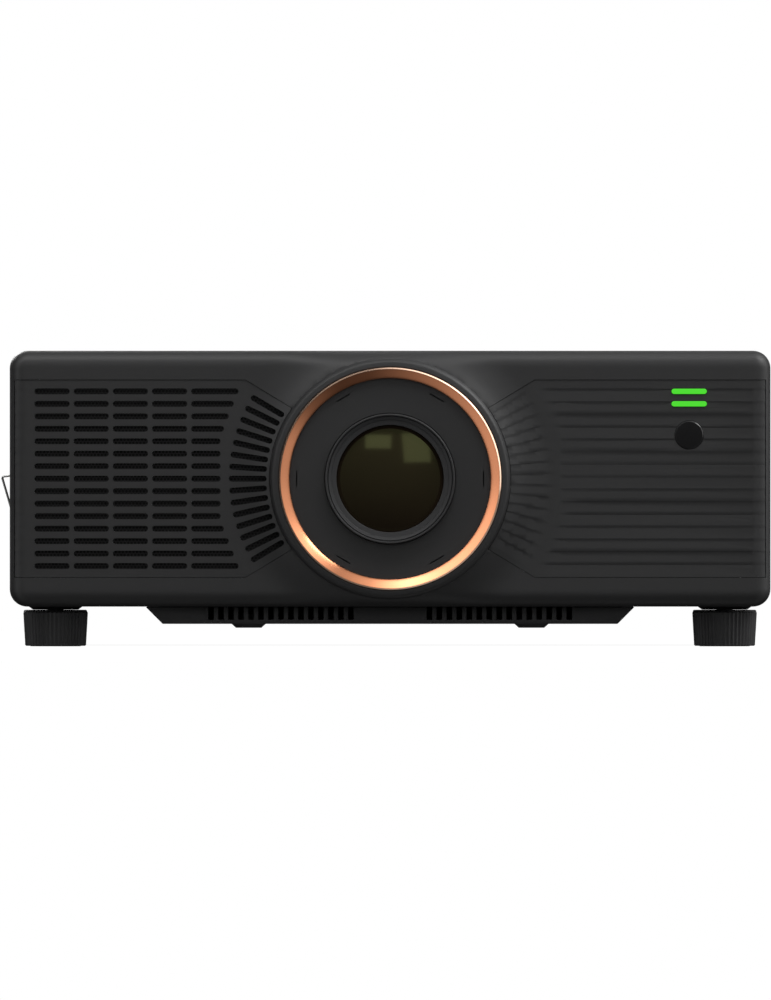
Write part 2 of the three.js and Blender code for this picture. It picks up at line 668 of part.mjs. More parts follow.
function focusPinion() {
  const mesh = THREE.MathUtils.degToRad(GEAR.motorAngle);
  const ringPhase = (mesh / (2 * Math.PI)) * ringTeeth;
  const pinionPhase = ringPhase - Math.floor(ringPhase) - 0.5;
  const turn = mesh + Math.PI + (pinionPhase * 2 * Math.PI) / GEAR.pinionTeeth;
  const outline = gearOutline(GEAR.pinionTeeth, GEAR.pinionAddendum, turn);
  const gear = prism(outline, gearNear - GEAR.pinionOverhang, gearFar + GEAR.pinionOverhang);
  return gear.add(rod(MOTOR.shaftRadius, gearFar, gearFar + MOTOR.shaftLength, 12));
}

const holderHalfWidth = LENS.radius + HOLDER.sideBorder;
const holderHalfHeight = LENS.radius + HOLDER.topBorder;

function lensHolder() {
  const plate = centredBlock(holderHalfWidth, [holderNear, holderFar], [-holderHalfHeight, holderHalfHeight]);
  const collarNear = holderNear - HOLDER.collar;
  const collar = rod(LENS.radius + HOLDER.collar, collarNear, holderFar, 32);
  return plate.add(collar).subtract(rod(LENS.radius + HOLDER.bore, collarNear - 1, holderFar + 1, 32));
}

const carriageHalfWidth = holderHalfWidth + SHIFT.horizontal + CARRIAGE.border;
const carriageHalfHeight = holderHalfHeight + RAIL.play + RAIL.width;

function shiftCarriage() {
  const near = [carriageNear, carriageFar];
  const plate = centredBlock(carriageHalfWidth, near, [-carriageHalfHeight, carriageHalfHeight]);
  const rails = [-1, 1].map((sign) => {
    const edges = [sign * carriageHalfHeight, sign * (carriageHalfHeight - RAIL.width)].sort((a, b) => a - b);
    return centredBlock(carriageHalfWidth, [holderNear, carriageFar], edges);
  });
  const bore = rod(LENS.radius + SHIFT.horizontal + SHIFT.clearance, carriageNear - 1, carriageFar + 1, 40);
  return join([plate, ...rails]).subtract(bore);
}

function lensMountPlate() {
  const halfHeight = carriageHalfHeight + SHIFT.vertical + MOUNT.border;
  const railInner = carriageHalfWidth + RAIL.play;
  const railOuter = railInner + RAIL.width;
  const plate = centredBlock(railOuter, [mountNear, mountFar], [-halfHeight, halfHeight]);
  const rails = [-1, 1].map((sign) => {
    const edges = [sign * railInner, sign * railOuter].sort((a, b) => a - b);
    return block(edges, [carriageNear, mountFar], [-halfHeight, halfHeight]);
  });
  const reach = Math.hypot(SHIFT.vertical, SHIFT.horizontal) + SHIFT.clearance;
  return join([plate, ...rails]).subtract(rod(LENS.radius + reach, mountNear - 1, mountFar + 1, 40));
}

function addLens() {
  const lens = addGroup([0, 0, middle]);
  addPart('lens_trim_ring', lensTrimRing(), 'copper', lens);
  addPart('lens_mount_plate', lensMountPlate(), 'darkMetal', lens);
  addPart('shift_carriage', shiftCarriage(), 'aluminium', lens);
  addPart('lens_holder', lensHolder(), 'darkMetal', lens);
  addPart('lens_baffle', lensBaffle(), 'caseBlack', lens);
  addPart('lens_barrel', lensBarrel(), 'softBlack', lens);
  addPart('lens_retaining_ring', lensRetainingRing(), 'softBlack', lens);
  addPart('front_lens', frontGlass(), 'glass', lens);
  addPart('focus_gear', focusGear(), 'softBlack', lens);
  const [x, z] = motorPlace();
  const drive = addGroup([x, 0, z], lens);
  addPart('focus_pinion', focusPinion(), 'aluminium', drive);
  const motor = rod(MOTOR.radius, gearFar + MOTOR.shaftLength + GAP, holderNear - GAP, 24);
  addPart('focus_motor', motor, 'darkMetal', drive);
}

// ---- Fans ----
function fanFrame() {
  const half = FAN.size / 2;
  const square = centredBlock(half, [0, FAN.depth], [-half, half]);
  const frame = square.subtract(rod(FAN.boreRadius, -1, FAN.depth + 1, 32));
  const spokeNear = FAN.depth - FAN.spokeDepth;
  const spokeHalf = FAN.spokeWidth / 2;
  const spoke = centredBlock(FAN.boreRadius + 1, [spokeNear, FAN.depth], [-spokeHalf, spokeHalf]);
  const hub = rod(FAN.hubRadius, spokeNear, FAN.depth, 16);
  const hole = rod(FAN.holeRadius, -1, FAN.depth + 1, 6);
  const corner = half - FAN.holeInset;
  const places = [[-corner, -corner], [-corner, corner], [corner, -corner], [corner, corner]];
  const holes = places.map(([x, z]) => hole.translate([x, 0, z]));
  return join([frame, spoke, spoke.rotate([0, 90, 0]), hub]).subtract(join(holes));
}

function fanRotor() {
  const hub = rod(FAN.hubRadius, FAN.rotorFront, FAN.depth - FAN.spokeDepth - 2 * GAP, 16);
  const length = FAN.bladeRadius - FAN.hubRadius + FAN.bladeRoot;
  const half = FAN.bladeThickness / 2;
  const blade = block([0, length], [-FAN.chord / 2, FAN.chord / 2], [-half, half]);
  const depth = (FAN.depth - 2 * FAN.rotorFront) / 2;
  const pitched = blade.rotate([FAN.bladePitch, 0, 0]).translate([FAN.bladeRadius - length, depth, 0]);
  const blades = [];
  for (let i = 0; i < FAN.blades; i++) blades.push(pitched.rotate([0, (i * 360) / FAN.blades, 0]));
  return join([hub, ...blades]);
}

const fanUnderside = middle - FAN.size / 2;
const rearFanY = rearInside - GAP - FAN.depth;
const rearFanPitch = FAN.size + FAN_PLACE.spacing;
const rearFanX = side - REAR_BORDER - FAN.size / 2 - FAN_PLACE.rearGap;
const frontFanX = -(side - WALL - FAN_PLACE.wallGap - FAN.size / 2);
const fanPlaces = [
  { name: 'intake_fan', x: frontFanX, y: caseFront + FAN_PLACE.frontGap },
  { name: 'exhaust_fan_1', x: rearFanX, y: rearFanY },
  { name: 'exhaust_fan_2', x: rearFanX - rearFanPitch, y: rearFanY },
];

function addFans() {
  const [frame, rotor] = [fanFrame(), fanRotor()];
  for (const place of fanPlaces) {
    const fan = addGroup([place.x, place.y, middle]);
    addPart(place.name + '_frame', frame, 'softBlack', fan);
    addPart(place.name + '_rotor', rotor, 'caseBlack', fan);
  }
}

// ---- Rear panel, sockets and keypad ----
const portBottom = floor + PORTS.z;
const PORT_LIST = [
  { name: 'hdmi_port_1', x: -200, width: 16, height: 6.6 },
  { name: 'hdmi_port_2', x: -172, width: 16, height: 6.6 },
  { name: 'usb_port', x: -142, width: 14, height: 7 },
  { name: 'lan_port', x: -112, width: 16, height: 13.5 },
  { name: 'serial_port', x: -72, width: 31, height: 12.5 },
];
const BUTTON_LIST = [
  { name: 'power_button', x: -3, z: 0 }, { name: 'source_button', x: 3, z: 1 },
  { name: 'menu_button', x: 3, z: -1 },
  { name: 'ok_button', x: 0, z: 0 }, { name: 'up_button', x: 0, z: 1 }, { name: 'down_button', x: 0, z: -1 },
  { name: 'left_button', x: 1, z: 0 }, { name: 'right_button', x: -1, z: 0 },
];

/** A socket's metal shell: open to the rear, closed at its inner end. */
function portShell(port) {
  const halfWidth = port.width / 2;
  const can = centredBlock(halfWidth, [-PORTS.depth, 0], [0, port.height]);
  const inner = [PORTS.wall, port.height - PORTS.wall];
  return can.subtract(centredBlock(halfWidth - PORTS.wall, [-PORTS.depth + PORTS.wall * 2, 1], inner));
}

function buttonPlace(button) {
  return [KEYPAD.x + button.x * BUTTON.pitch, floor + KEYPAD.z + button.z * BUTTON.pitch];
}

function rearPanel() {
  const plateZ = [floor + REAR_BORDER + GAP, split - GAP];
  const plate = centredBlock(side - REAR_BORDER - GAP, [rearInside, rearFace], plateZ);
  const through = [rearInside - 1, rearFace + 1];
  const cuts = [];
  for (const port of PORT_LIST) {
    const halfWidth = port.width / 2 + GAP;
    const z = [portBottom - GAP, portBottom + port.height + GAP];
    cuts.push(block([port.x - halfWidth, port.x + halfWidth], through, z));
  }
  for (const button of BUTTON_LIST) {
    const [x, z] = buttonPlace(button);
    cuts.push(rod(BUTTON.radius + GAP, through[0], through[1], 12).translate([x, 0, z]));
  }
  const [halfWidth, halfHeight] = [EXHAUST.width / 2, EXHAUST.height / 2];
  for (const place of fanPlaces.filter((fan) => fan.y === rearFanY)) {
    for (let row = 0; row < EXHAUST.rows; row++) {
      const z = middle + (row - (EXHAUST.rows - 1) / 2) * EXHAUST.pitch;
      const across = [place.x - halfWidth, place.x + halfWidth];
      cuts.push(block(across, through, [z - halfHeight, z + halfHeight]));
    }
  }
  return plate.subtract(join(cuts));
}

function addPorts() {
  for (const port of PORT_LIST) {
    addPart(port.name, portShell(port), 'steel', projector, [port.x, rearFace, portBottom]);
  }
}

function addKeypad() {
  const flangeFace = -WALL - GAP;
  const flangeBack = flangeFace - BUTTON.flangeThickness;
  const flangeRadius = BUTTON.radius + BUTTON.flange;
  const button = spin([
    [0, BUTTON.proud], [BUTTON.radius - BUTTON.chamfer, BUTTON.proud],
    [BUTTON.radius, BUTTON.proud - BUTTON.chamfer], [BUTTON.radius, flangeFace],
    [flangeRadius, flangeFace], [flangeRadius, flangeBack], [0, flangeBack],
  ], 12);
  for (const item of BUTTON_LIST) {
    const [x, z] = buttonPlace(item);
    addPart(item.name, button, 'softBlack', projector, [x, rearFace, z]);
  }
}

// ---- Mains inlet, plug clip and power rocker on the left side ----
function inletBlock() {
  const half = INLET.blockLength / 2;
  const halfZ = INLET.blockHeight / 2;
  const body = block([0, INLET.blockDepth], [-half, half], [-halfZ, halfZ]);
  const socket = block(
    [-1, SOCKET.depth], [SOCKET.offset - SOCKET.length / 2, SOCKET.offset + SOCKET.length / 2],
    [-SOCKET.height / 2, SOCKET.height / 2]);
  const wellHalf = ROCKER.length / 2 + ROCKER.wellEnd;
  const wellHalfZ = ROCKER.height / 2 + ROCKER.wellSide;
  const wellY = [ROCKER.offset - wellHalf, ROCKER.offset + wellHalf];
  const well = block([-1, ROCKER.wellDepth], wellY, [-wellHalfZ, wellHalfZ]);
  return body.subtract(socket).subtract(well);
}

/** The rocker about its pivot: two faces that meet in a shallow V, with the far end standing out. */
function powerRocker() {
  const half = ROCKER.length / 2;
  const rise = half * Math.tan(THREE.MathUtils.degToRad(ROCKER.tilt));
  const backHalf = half * ROCKER.backShare;
  const outline = [
    [-ROCKER.faceReach - rise, -half], [-ROCKER.faceReach, 0], [-ROCKER.faceReach - rise, half],
    [ROCKER.backStep, backHalf], [ROCKER.backReach, 0], [ROCKER.backStep, -backHalf],
  ];
  const geometry = new THREE.ExtrudeGeometry(shapeOf(outline), { depth: ROCKER.height, bevelEnabled: false });
  geometry.translate(0, 0, -ROCKER.height / 2);
  return solid(geometry).rotate([0, 0, ROCKER.tilt]);
}

/** The plug clip: one bent wire from pivot to pivot, leaning out from the wall. */
function plugClip() {
  const reach = CLIP.halfWidth;
  const leg = [[0, CLIP.pivotInset, 0], [0, 0, 0], [-CLIP.kneeOut, 0, CLIP.kneeRise], [0, 0, CLIP.barRise]];
  const near = leg.map(([x, y, z]) => new THREE.Vector3(x, y - reach, z));
  const far = leg.map(([x, y, z]) => new THREE.Vector3(x, reach - y, z)).reverse();
  const points = [...near, ...far];
  const links = [];
  for (let i = 0; i + 1 < points.length; i++) {
    const span = points[i + 1].clone().sub(points[i]);
    const radius = CLIP.wire / 2;
    const geometry = new THREE.CylinderGeometry(radius, radius, span.length() + radius, 6);
    const upright = new THREE.Vector3(0, 1, 0);
    const turn = new THREE.Quaternion().setFromUnitVectors(upright, span.clone().normalize());
    geometry.applyQuaternion(turn);
    geometry.translate(...points[i].clone().addScaledVector(span, 0.5));
    links.push(solid(geometry));
  }
  return join(links);
}

function addInlet() {
  const inlet = addGroup([-side + INLET.recess, INLET.y, floor + INLET.z]);
  addPart('ac_inlet', inletBlock(), 'softBlack', inlet);
  addPart('power_switch', powerRocker(), 'caseBlack', inlet, [ROCKER.pivotDepth, ROCKER.offset, 0]);
  const wireX = -INLET.recess - GAP - CLIP.wire / 2;
  addPart('plug_clip', plugClip(), 'steel', inlet, [wireX, SOCKET.offset, 0]);
}

// ---- Light engine and electronics ----
const insideFloor = floor + WALL;
const boardZ = portBottom - PORTS.boardDrop;
const engineNear = mountFar + GAP;
const engineFar = engineNear + ENGINE.length;
const engineHalf = carriageHalfWidth - ENGINE.sideGap;
const engineZ = [insideFloor + ENGINE.floorGap, roof - WALL - ENGINE.roofGap];
const laserX = [engineHalf + LASER.engineGap, side - WALL - LASER.wallGap];
const laserY = [engineFar - LASER.before, engineFar + LASER.after];
const laserZ = [engineZ[0], engineZ[1] - LASER.drop];
const supplyX = [-side + WALL + SUPPLY.wallGap, -engineHalf - SUPPLY.engineGap];
const supplyY = [caseFront + SUPPLY.setback, engineFar + SUPPLY.reach];
const supplyZ = [insideFloor + SUPPLY.lift, insideFloor + SUPPLY.lift + SUPPLY.height];
const boardX = [-side + WALL + BOARD.wallGap, BOARD.innerEdge];
const boardY = [supplyY[1] + BOARD.supplyGap, rearInside - BOARD.rearGap];
const wheelY = engineFar + WHEEL.setback;

function engineHousing() {
  const body = centredBlock(engineHalf, [engineNear, engineFar], engineZ);
  const throat = rod(boreRadius, engineNear - 1, engineNear + ENGINE.throatDepth, 32);
  return body.subtract(throat.translate([0, 0, middle]));
}

/** A plate with upright fins in front of it. */
function finnedBlock(x, y, z) {
  const parts = [block(x, [y[1] - FINS.base, y[1]], z)];
  const pitch = (x[1] - x[0] - FINS.thickness) / (FINS.count - 1);
  for (let i = 0; i < FINS.count; i++) {
    const low = x[0] + i * pitch;
    parts.push(block([low, low + FINS.thickness], [y[0], y[1] - FINS.base / 2], z));
  }
  return join(parts);
}

function phosphorWheel() {
  const rear = -WHEEL.motorGap;
  const disc = rod(WHEEL.radius, rear - WHEEL.thickness, rear, 40);
  return disc.add(rod(WHEEL.hubRadius, -WHEEL.hubReach, rear, 20));
}

/** The upright board on the engine's left side. */
function imagerBoard() {
  const face = -engineHalf - GAP;
  const inset = BOARD.imagerInset;
  const z = [engineZ[0] + inset, engineZ[1] - inset];
  return block([face - BOARD.thickness, face], [engineNear + inset, engineFar - inset], z);
}

function addEngine() {
  addPart('engine_housing', engineHousing(), 'darkMetal');
  addPart('laser_module', block(laserX, laserY, laserZ), 'aluminium');
  const sinkY = [caseFront + LASER.sinkSetback, laserY[0] - GAP];
  addPart('laser_heatsink', finnedBlock(laserX, sinkY, laserZ), 'aluminium');
  const wheel = addGroup([0, wheelY, middle]);
  addPart('phosphor_wheel', phosphorWheel(), 'steel', wheel);
  const motor = rod(WHEEL_MOTOR.radius, GAP - WHEEL.motorGap, WHEEL_MOTOR.length, 24);
  addPart('phosphor_motor', motor, 'darkMetal', wheel);
  addPart('imager_board', imagerBoard(), 'board');
  addPart('power_supply', block(supplyX, supplyY, supplyZ), 'aluminium');
  addPart('main_board', block(boardX, boardY, [boardZ, boardZ + BOARD.thickness]), 'board');
}

/** Ribs of the lower case under every inner piece that stands on it. */
function innerRibs() {
  const shortened = (y) => [y[0] + RIB.endGap, y[1] - RIB.endGap];
  const motorX = [-WHEEL_MOTOR.ribHalf, WHEEL_MOTOR.ribHalf];
  const motorY = [wheelY + WHEEL_MOTOR.ribNear, wheelY + WHEEL_MOTOR.ribFar];
  const ribs = [
    ...supportRibs(supplyX, shortened(supplyY), supplyZ[0]),
    ...supportRibs([-engineHalf, engineHalf], shortened([engineNear, engineFar]), engineZ[0]),
    ...supportRibs(laserX, shortened(laserY), engineZ[0]),
    ...supportRibs(boardX, shortened(boardY), boardZ),
    ...supportRibs(motorX, motorY, middle - WHEEL_MOTOR.radius),
  ];
  for (const place of fanPlaces) {
    const half = FAN.size / 2 - FAN_PLACE.ribInset;
    const across = [place.x - half, place.x + half];
    ribs.push(...supportRibs(across, [place.y, place.y + FAN.depth], fanUnderside));
  }
  return ribs;
}

// ---- Assembly ----
addPart('front_bezel', frontBezel(), 'caseBlack');
addPart('left_grille', leftGrille(), 'caseBlack');
addPart('right_panel', rightPanel(), 'caseBlack');
addPart('grille_mesh', grilleMesh(), 'darkMetal');
addPart('lower_case', lowerCase(innerRibs()), 'caseBlack');
addPart('top_cover', topCover(), 'caseBlack');
addPart('rear_panel', rearPanel(), 'darkMetal');
addPart('base_tray', baseTray(), 'softBlack');
addStatusLights();
addReceiverWindow();
addFeet();
addLens();
addFans();
addPorts();
addKeypad();
addInlet();
addEngine();

export default projector;
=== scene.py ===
"""Looks of an installation projector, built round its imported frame. Metres, +Z up, the lens along -Y."""

import json
import logging
import math
from contextlib import contextmanager
from dataclasses import dataclass
from enum import Enum
from typing import Callable, Iterator, Sequence

import bmesh
import bpy
from mathutils import Matrix, Vector

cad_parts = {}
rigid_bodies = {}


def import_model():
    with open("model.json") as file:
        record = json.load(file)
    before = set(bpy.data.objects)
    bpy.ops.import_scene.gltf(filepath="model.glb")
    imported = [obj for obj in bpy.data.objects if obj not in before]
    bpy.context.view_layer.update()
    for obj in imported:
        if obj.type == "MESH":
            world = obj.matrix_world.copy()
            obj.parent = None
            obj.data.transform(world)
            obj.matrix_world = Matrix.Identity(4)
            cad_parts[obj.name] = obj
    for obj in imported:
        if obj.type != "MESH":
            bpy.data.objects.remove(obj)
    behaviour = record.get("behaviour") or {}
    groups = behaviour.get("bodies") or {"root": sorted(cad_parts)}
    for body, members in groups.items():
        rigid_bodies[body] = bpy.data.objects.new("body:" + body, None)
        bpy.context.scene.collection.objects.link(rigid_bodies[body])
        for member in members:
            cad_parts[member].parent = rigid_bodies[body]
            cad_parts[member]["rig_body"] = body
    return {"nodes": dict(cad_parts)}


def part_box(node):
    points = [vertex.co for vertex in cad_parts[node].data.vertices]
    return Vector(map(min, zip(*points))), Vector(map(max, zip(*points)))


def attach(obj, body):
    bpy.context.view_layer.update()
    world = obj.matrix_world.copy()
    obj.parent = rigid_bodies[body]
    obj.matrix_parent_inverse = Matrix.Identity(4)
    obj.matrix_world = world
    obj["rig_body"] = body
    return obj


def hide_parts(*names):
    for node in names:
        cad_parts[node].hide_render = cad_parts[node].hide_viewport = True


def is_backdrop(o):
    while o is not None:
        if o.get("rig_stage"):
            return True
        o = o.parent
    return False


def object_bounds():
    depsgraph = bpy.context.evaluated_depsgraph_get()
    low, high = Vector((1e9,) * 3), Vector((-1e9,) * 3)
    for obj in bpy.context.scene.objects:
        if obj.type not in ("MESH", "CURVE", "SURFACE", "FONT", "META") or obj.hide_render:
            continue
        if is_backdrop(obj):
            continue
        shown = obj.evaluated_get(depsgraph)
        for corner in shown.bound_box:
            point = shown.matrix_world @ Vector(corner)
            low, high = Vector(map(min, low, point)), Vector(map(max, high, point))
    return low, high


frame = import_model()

LOG = logging.getLogger("projector")
MILLIMETRE = 0.001
TINY = 1e-6
GAP = 0.0003
Point = Sequence[float]
Piece = bpy.types.Object


class Axis(Enum):
    """The direction a piece is turned about."""

    X = (1.0, 0.0, 0.0)
    Y = (0.0, 1.0, 0.0)
    Z = (0.0, 0.0, 1.0)


class Cut(Enum):
    """How one solid changes another."""

    AWAY = "DIFFERENCE"
    KEEP = "INTERSECT"
    ADD = "UNION"


class Pattern(Enum):
    """How a surface was made, which sets its fine relief."""

    MOULDED = "moulded"
    TURNED = "turned"
    BRUSHED = "brushed"
    POLISHED = "polished"
    CAST = "cast"


# ---- Shaping by operators ----


def activate(piece: Piece) -> None:
    """Makes a piece the only selected and active one."""
    bpy.ops.object.select_all(action="DESELECT")
    piece.select_set(True)
    bpy.context.view_layer.objects.active = piece


@contextmanager
def editing(piece: Piece, kind: str = "FACE") -> Iterator[None]:
    """Edit mode on one piece.

    Args:
        piece: the mesh to edit.
        kind: what is selected, FACE, EDGE or VERT.
    """
    activate(piece)
    bpy.ops.object.mode_set(mode="EDIT")
    bpy.ops.mesh.select_mode(type=kind)
    bpy.ops.mesh.select_all(action="SELECT")
    yield
    bpy.ops.object.mode_set(mode="OBJECT")


def pick_edges(piece: Piece, test: Callable[[Vector, Vector], bool]) -> None:
    """Selects the edges of a piece in edit mode that pass a test of their two ends.

    Args:
        piece: the mesh being edited.
        test: true for an edge to select.
    """
    bpy.ops.mesh.select_all(action="DESELECT")
    shape = bmesh.from_edit_mesh(piece.data)
    for edge in shape.edges:
        if test(edge.verts[0].co, edge.verts[1].co):
            edge.select_set(True)
    bmesh.update_edit_mesh(piece.data)


def tidy(piece: Piece) -> None:
    """Merges doubles, drops loose edges and points the faces outwards."""
    with editing(piece):
        bpy.ops.mesh.remove_doubles(threshold=TINY)
        bpy.ops.mesh.delete_loose(use_verts=True, use_edges=True, use_faces=False)
        bpy.ops.mesh.select_all(action="SELECT")
        bpy.ops.mesh.normals_make_consistent(inside=False)


def block(name: str, low: Point, high: Point) -> Piece:
    """A box between two corners.

    Args:
        name: the piece's name.
        low: its lowest corner.
        high: its highest corner.

    Returns:
        The box.
    """
    low, high = Vector(low), Vector(high)
    bpy.ops.mesh.primitive_cube_add(size=1, location=(low + high) / 2, scale=high - low)
    piece = bpy.context.active_object
    piece.name = name
    bpy.ops.object.transform_apply(location=True, rotation=True, scale=True)
    return piece


def soften(piece: Piece, width: float, segments: int = 2, angle: float = 40) -> Piece:
    """Rounds a piece's edges with an applied bevel.

    Args:
        piece: the piece to round.
        width: the width of the rounding.
        segments: the faces across it.
        angle: the smallest turn, in degrees, that is rounded.

    Returns:
        The same piece.
    """
    bevel = piece.modifiers.new("soften", "BEVEL")
    bevel.width, bevel.segments = width, segments
    bevel.limit_method, bevel.angle_limit = "ANGLE", math.radians(angle)
    activate(piece)
    bpy.ops.object.modifier_apply(modifier=bevel.name)
    return piece


def prism(name: str, outline: Sequence[Point], push: Point) -> Piece:
    """A flat outline pushed along a vector.

    Args:
        name: the piece's name.
        outline: the outline's corners in order.
        push: how far and which way it is extruded.

    Returns:
        The closed prism.
    """
    bpy.ops.mesh.primitive_circle_add(vertices=len(outline), radius=1, fill_type="NGON")
    piece = bpy.context.active_object
    piece.name = name
    for vertex, point in zip(piece.data.vertices, outline):
        vertex.co = point
    with editing(piece):
        bpy.ops.mesh.extrude_region_move(TRANSFORM_OT_translate={"value": push})
        bpy.ops.mesh.select_all(action="SELECT")
        bpy.ops.mesh.normals_make_consistent(inside=False)
    return piece


def turned(name: str, profile: Sequence[Point], centre: Point, axis: Axis = Axis.Y, steps: int = 96) -> Piece:
    """A profile spun a full turn about an axis.

    Args:
        name: the piece's name.
        profile: pairs of radius and place along the axis, closed on itself.
        centre: a point on the axis; its coordinate along the axis is added to the places.
        axis: the axis of the spin.
        steps: the number of flats round it.

    Returns:
        The closed turned piece.
    """
    along = Vector(axis.value)
    across = Vector(Axis.Z.value if axis is Axis.X else Axis.X.value)
    bpy.ops.mesh.primitive_circle_add(vertices=len(profile), radius=1, fill_type="NOTHING")
    piece = bpy.context.active_object
    piece.name = name
    for vertex, (radius, height) in zip(piece.data.vertices, profile):
        vertex.co = Vector(centre) + across * radius + along * height
    with editing(piece):
        bpy.ops.mesh.spin(steps=steps, angle=math.tau, center=centre, axis=along)
    tidy(piece)
    return piece


def shape_with(piece: Piece, tool: Piece, cut: Cut) -> Piece:
    """Cuts, keeps or adds by another solid, which is used up.

    Args:
        piece: the solid to change.
        tool: the solid that changes it.
        cut: what is done.

    Returns:
        The changed solid.
    """
    change = piece.modifiers.new("shape", "BOOLEAN")
    change.operation, change.solver, change.object = cut.value, "MANIFOLD", tool
    activate(piece)
    bpy.ops.object.modifier_apply(modifier=change.name)
    bpy.data.objects.remove(tool)
    return piece


def joined(name: str, pieces: Sequence[Piece]) -> Piece:
    """Several meshes as one.

    Args:
        name: the name of the result.
        pieces: the meshes, which are used up.

    Returns:
        The joined mesh.
    """
    activate(pieces[0])
    for piece in pieces:
        piece.select_set(True)
    bpy.ops.object.join()
    pieces[0].name = name
    return pieces[0]


def copied(piece: Piece, matrix: Matrix, name: str = "") -> Piece:
    """A copy with its own mesh, moved by a matrix.

    Args:
        piece: the mesh to copy.
        matrix: where the copy goes.
        name: the copy's name.

    Returns:
        The copy.
    """
    twin = piece.copy()
    twin.data = piece.data.copy()
    twin.name = name or piece.name
    bpy.context.scene.collection.objects.link(twin)
    twin.data.transform(matrix)
    return twin


def shifted(x: float = 0, y: float = 0, z: float = 0) -> Matrix:
    """A move along the axes."""
    return Matrix.Translation((x, y, z))


def turned_about(centre: Point, angle: float, axis: Axis) -> Matrix:
    """A turn by an angle in degrees about an axis through a point."""
    spot = Matrix.Translation(centre)
    return spot @ Matrix.Rotation(math.radians(angle), 4, Vector(axis.value)) @ spot.inverted()


def repeated(name: str, piece: Piece, places: Sequence[Matrix]) -> Piece:
    """One piece copied to each place and joined.

    Args:
        name: the name of the result.
        piece: the piece to repeat, which is used up.
        places: where each copy goes.

    Returns:
        The copies as one mesh.
    """
    twins = [copied(piece, place) for place in places]
    bpy.data.objects.remove(piece)
    return joined(name, twins)


def reshape(piece: Piece, move: Callable[[Vector], Vector]) -> Piece:
    """Moves each vertex of a piece to where a function puts it."""
    for vertex in piece.data.vertices:
        vertex.co = move(vertex.co)
    piece.data.update()
    return piece


def capsule(low: float, high: float, height: float, place: Point) -> list[Point]:
    """The outline of a bar with round ends, in the plane of X and Z.

    Args:
        low: where it starts along X, from the place.
        high: where it ends.
        height: its full height.
        place: its origin.

    Returns:
        The outline's points.
    """
    radius, steps = height / 2, 8
    points = []
    for end, start in ((high - radius, -90), (low + radius, 90)):
        for step in range(steps + 1):
            angle = math.radians(start + 180 * step / steps)
            points.append(
                Vector(place) + Vector((end + radius * math.cos(angle), 0, radius * math.sin(angle)))
            )
    return points


# ---- Finishes ----


def linear(colour: str) -> tuple[float, float, float, float]:
    """An sRGB hex colour as linear red, green, blue and alpha."""
    levels = [int(colour[i : i + 2], 16) / 255 for i in (0, 2, 4)]
    return (*[v / 12.92 if v <= 0.04045 else ((v + 0.055) / 1.055) ** 2.4 for v in levels], 1.0)


def add_node(
    tree: bpy.types.NodeTree, kind: str, settings: dict | None = None, values: dict | None = None,
    links: dict | None = None
) -> bpy.types.Node:
    """Adds a node with its settings and links.

    Args:
        tree: the node tree.
        kind: the node's type.
        settings: its properties.
        values: its input values by name or index.
        links: the outputs that feed its inputs, by name or index.

    Returns:
        The node.
    """
    node = tree.nodes.new(kind)
    for name, value in (settings or {}).items():
        setattr(node, name, value)
    for name, value in (values or {}).items():
        node.inputs[name].default_value = value
    for name, source in (links or {}).items():
        tree.links.new(source, node.inputs[name])
    return node


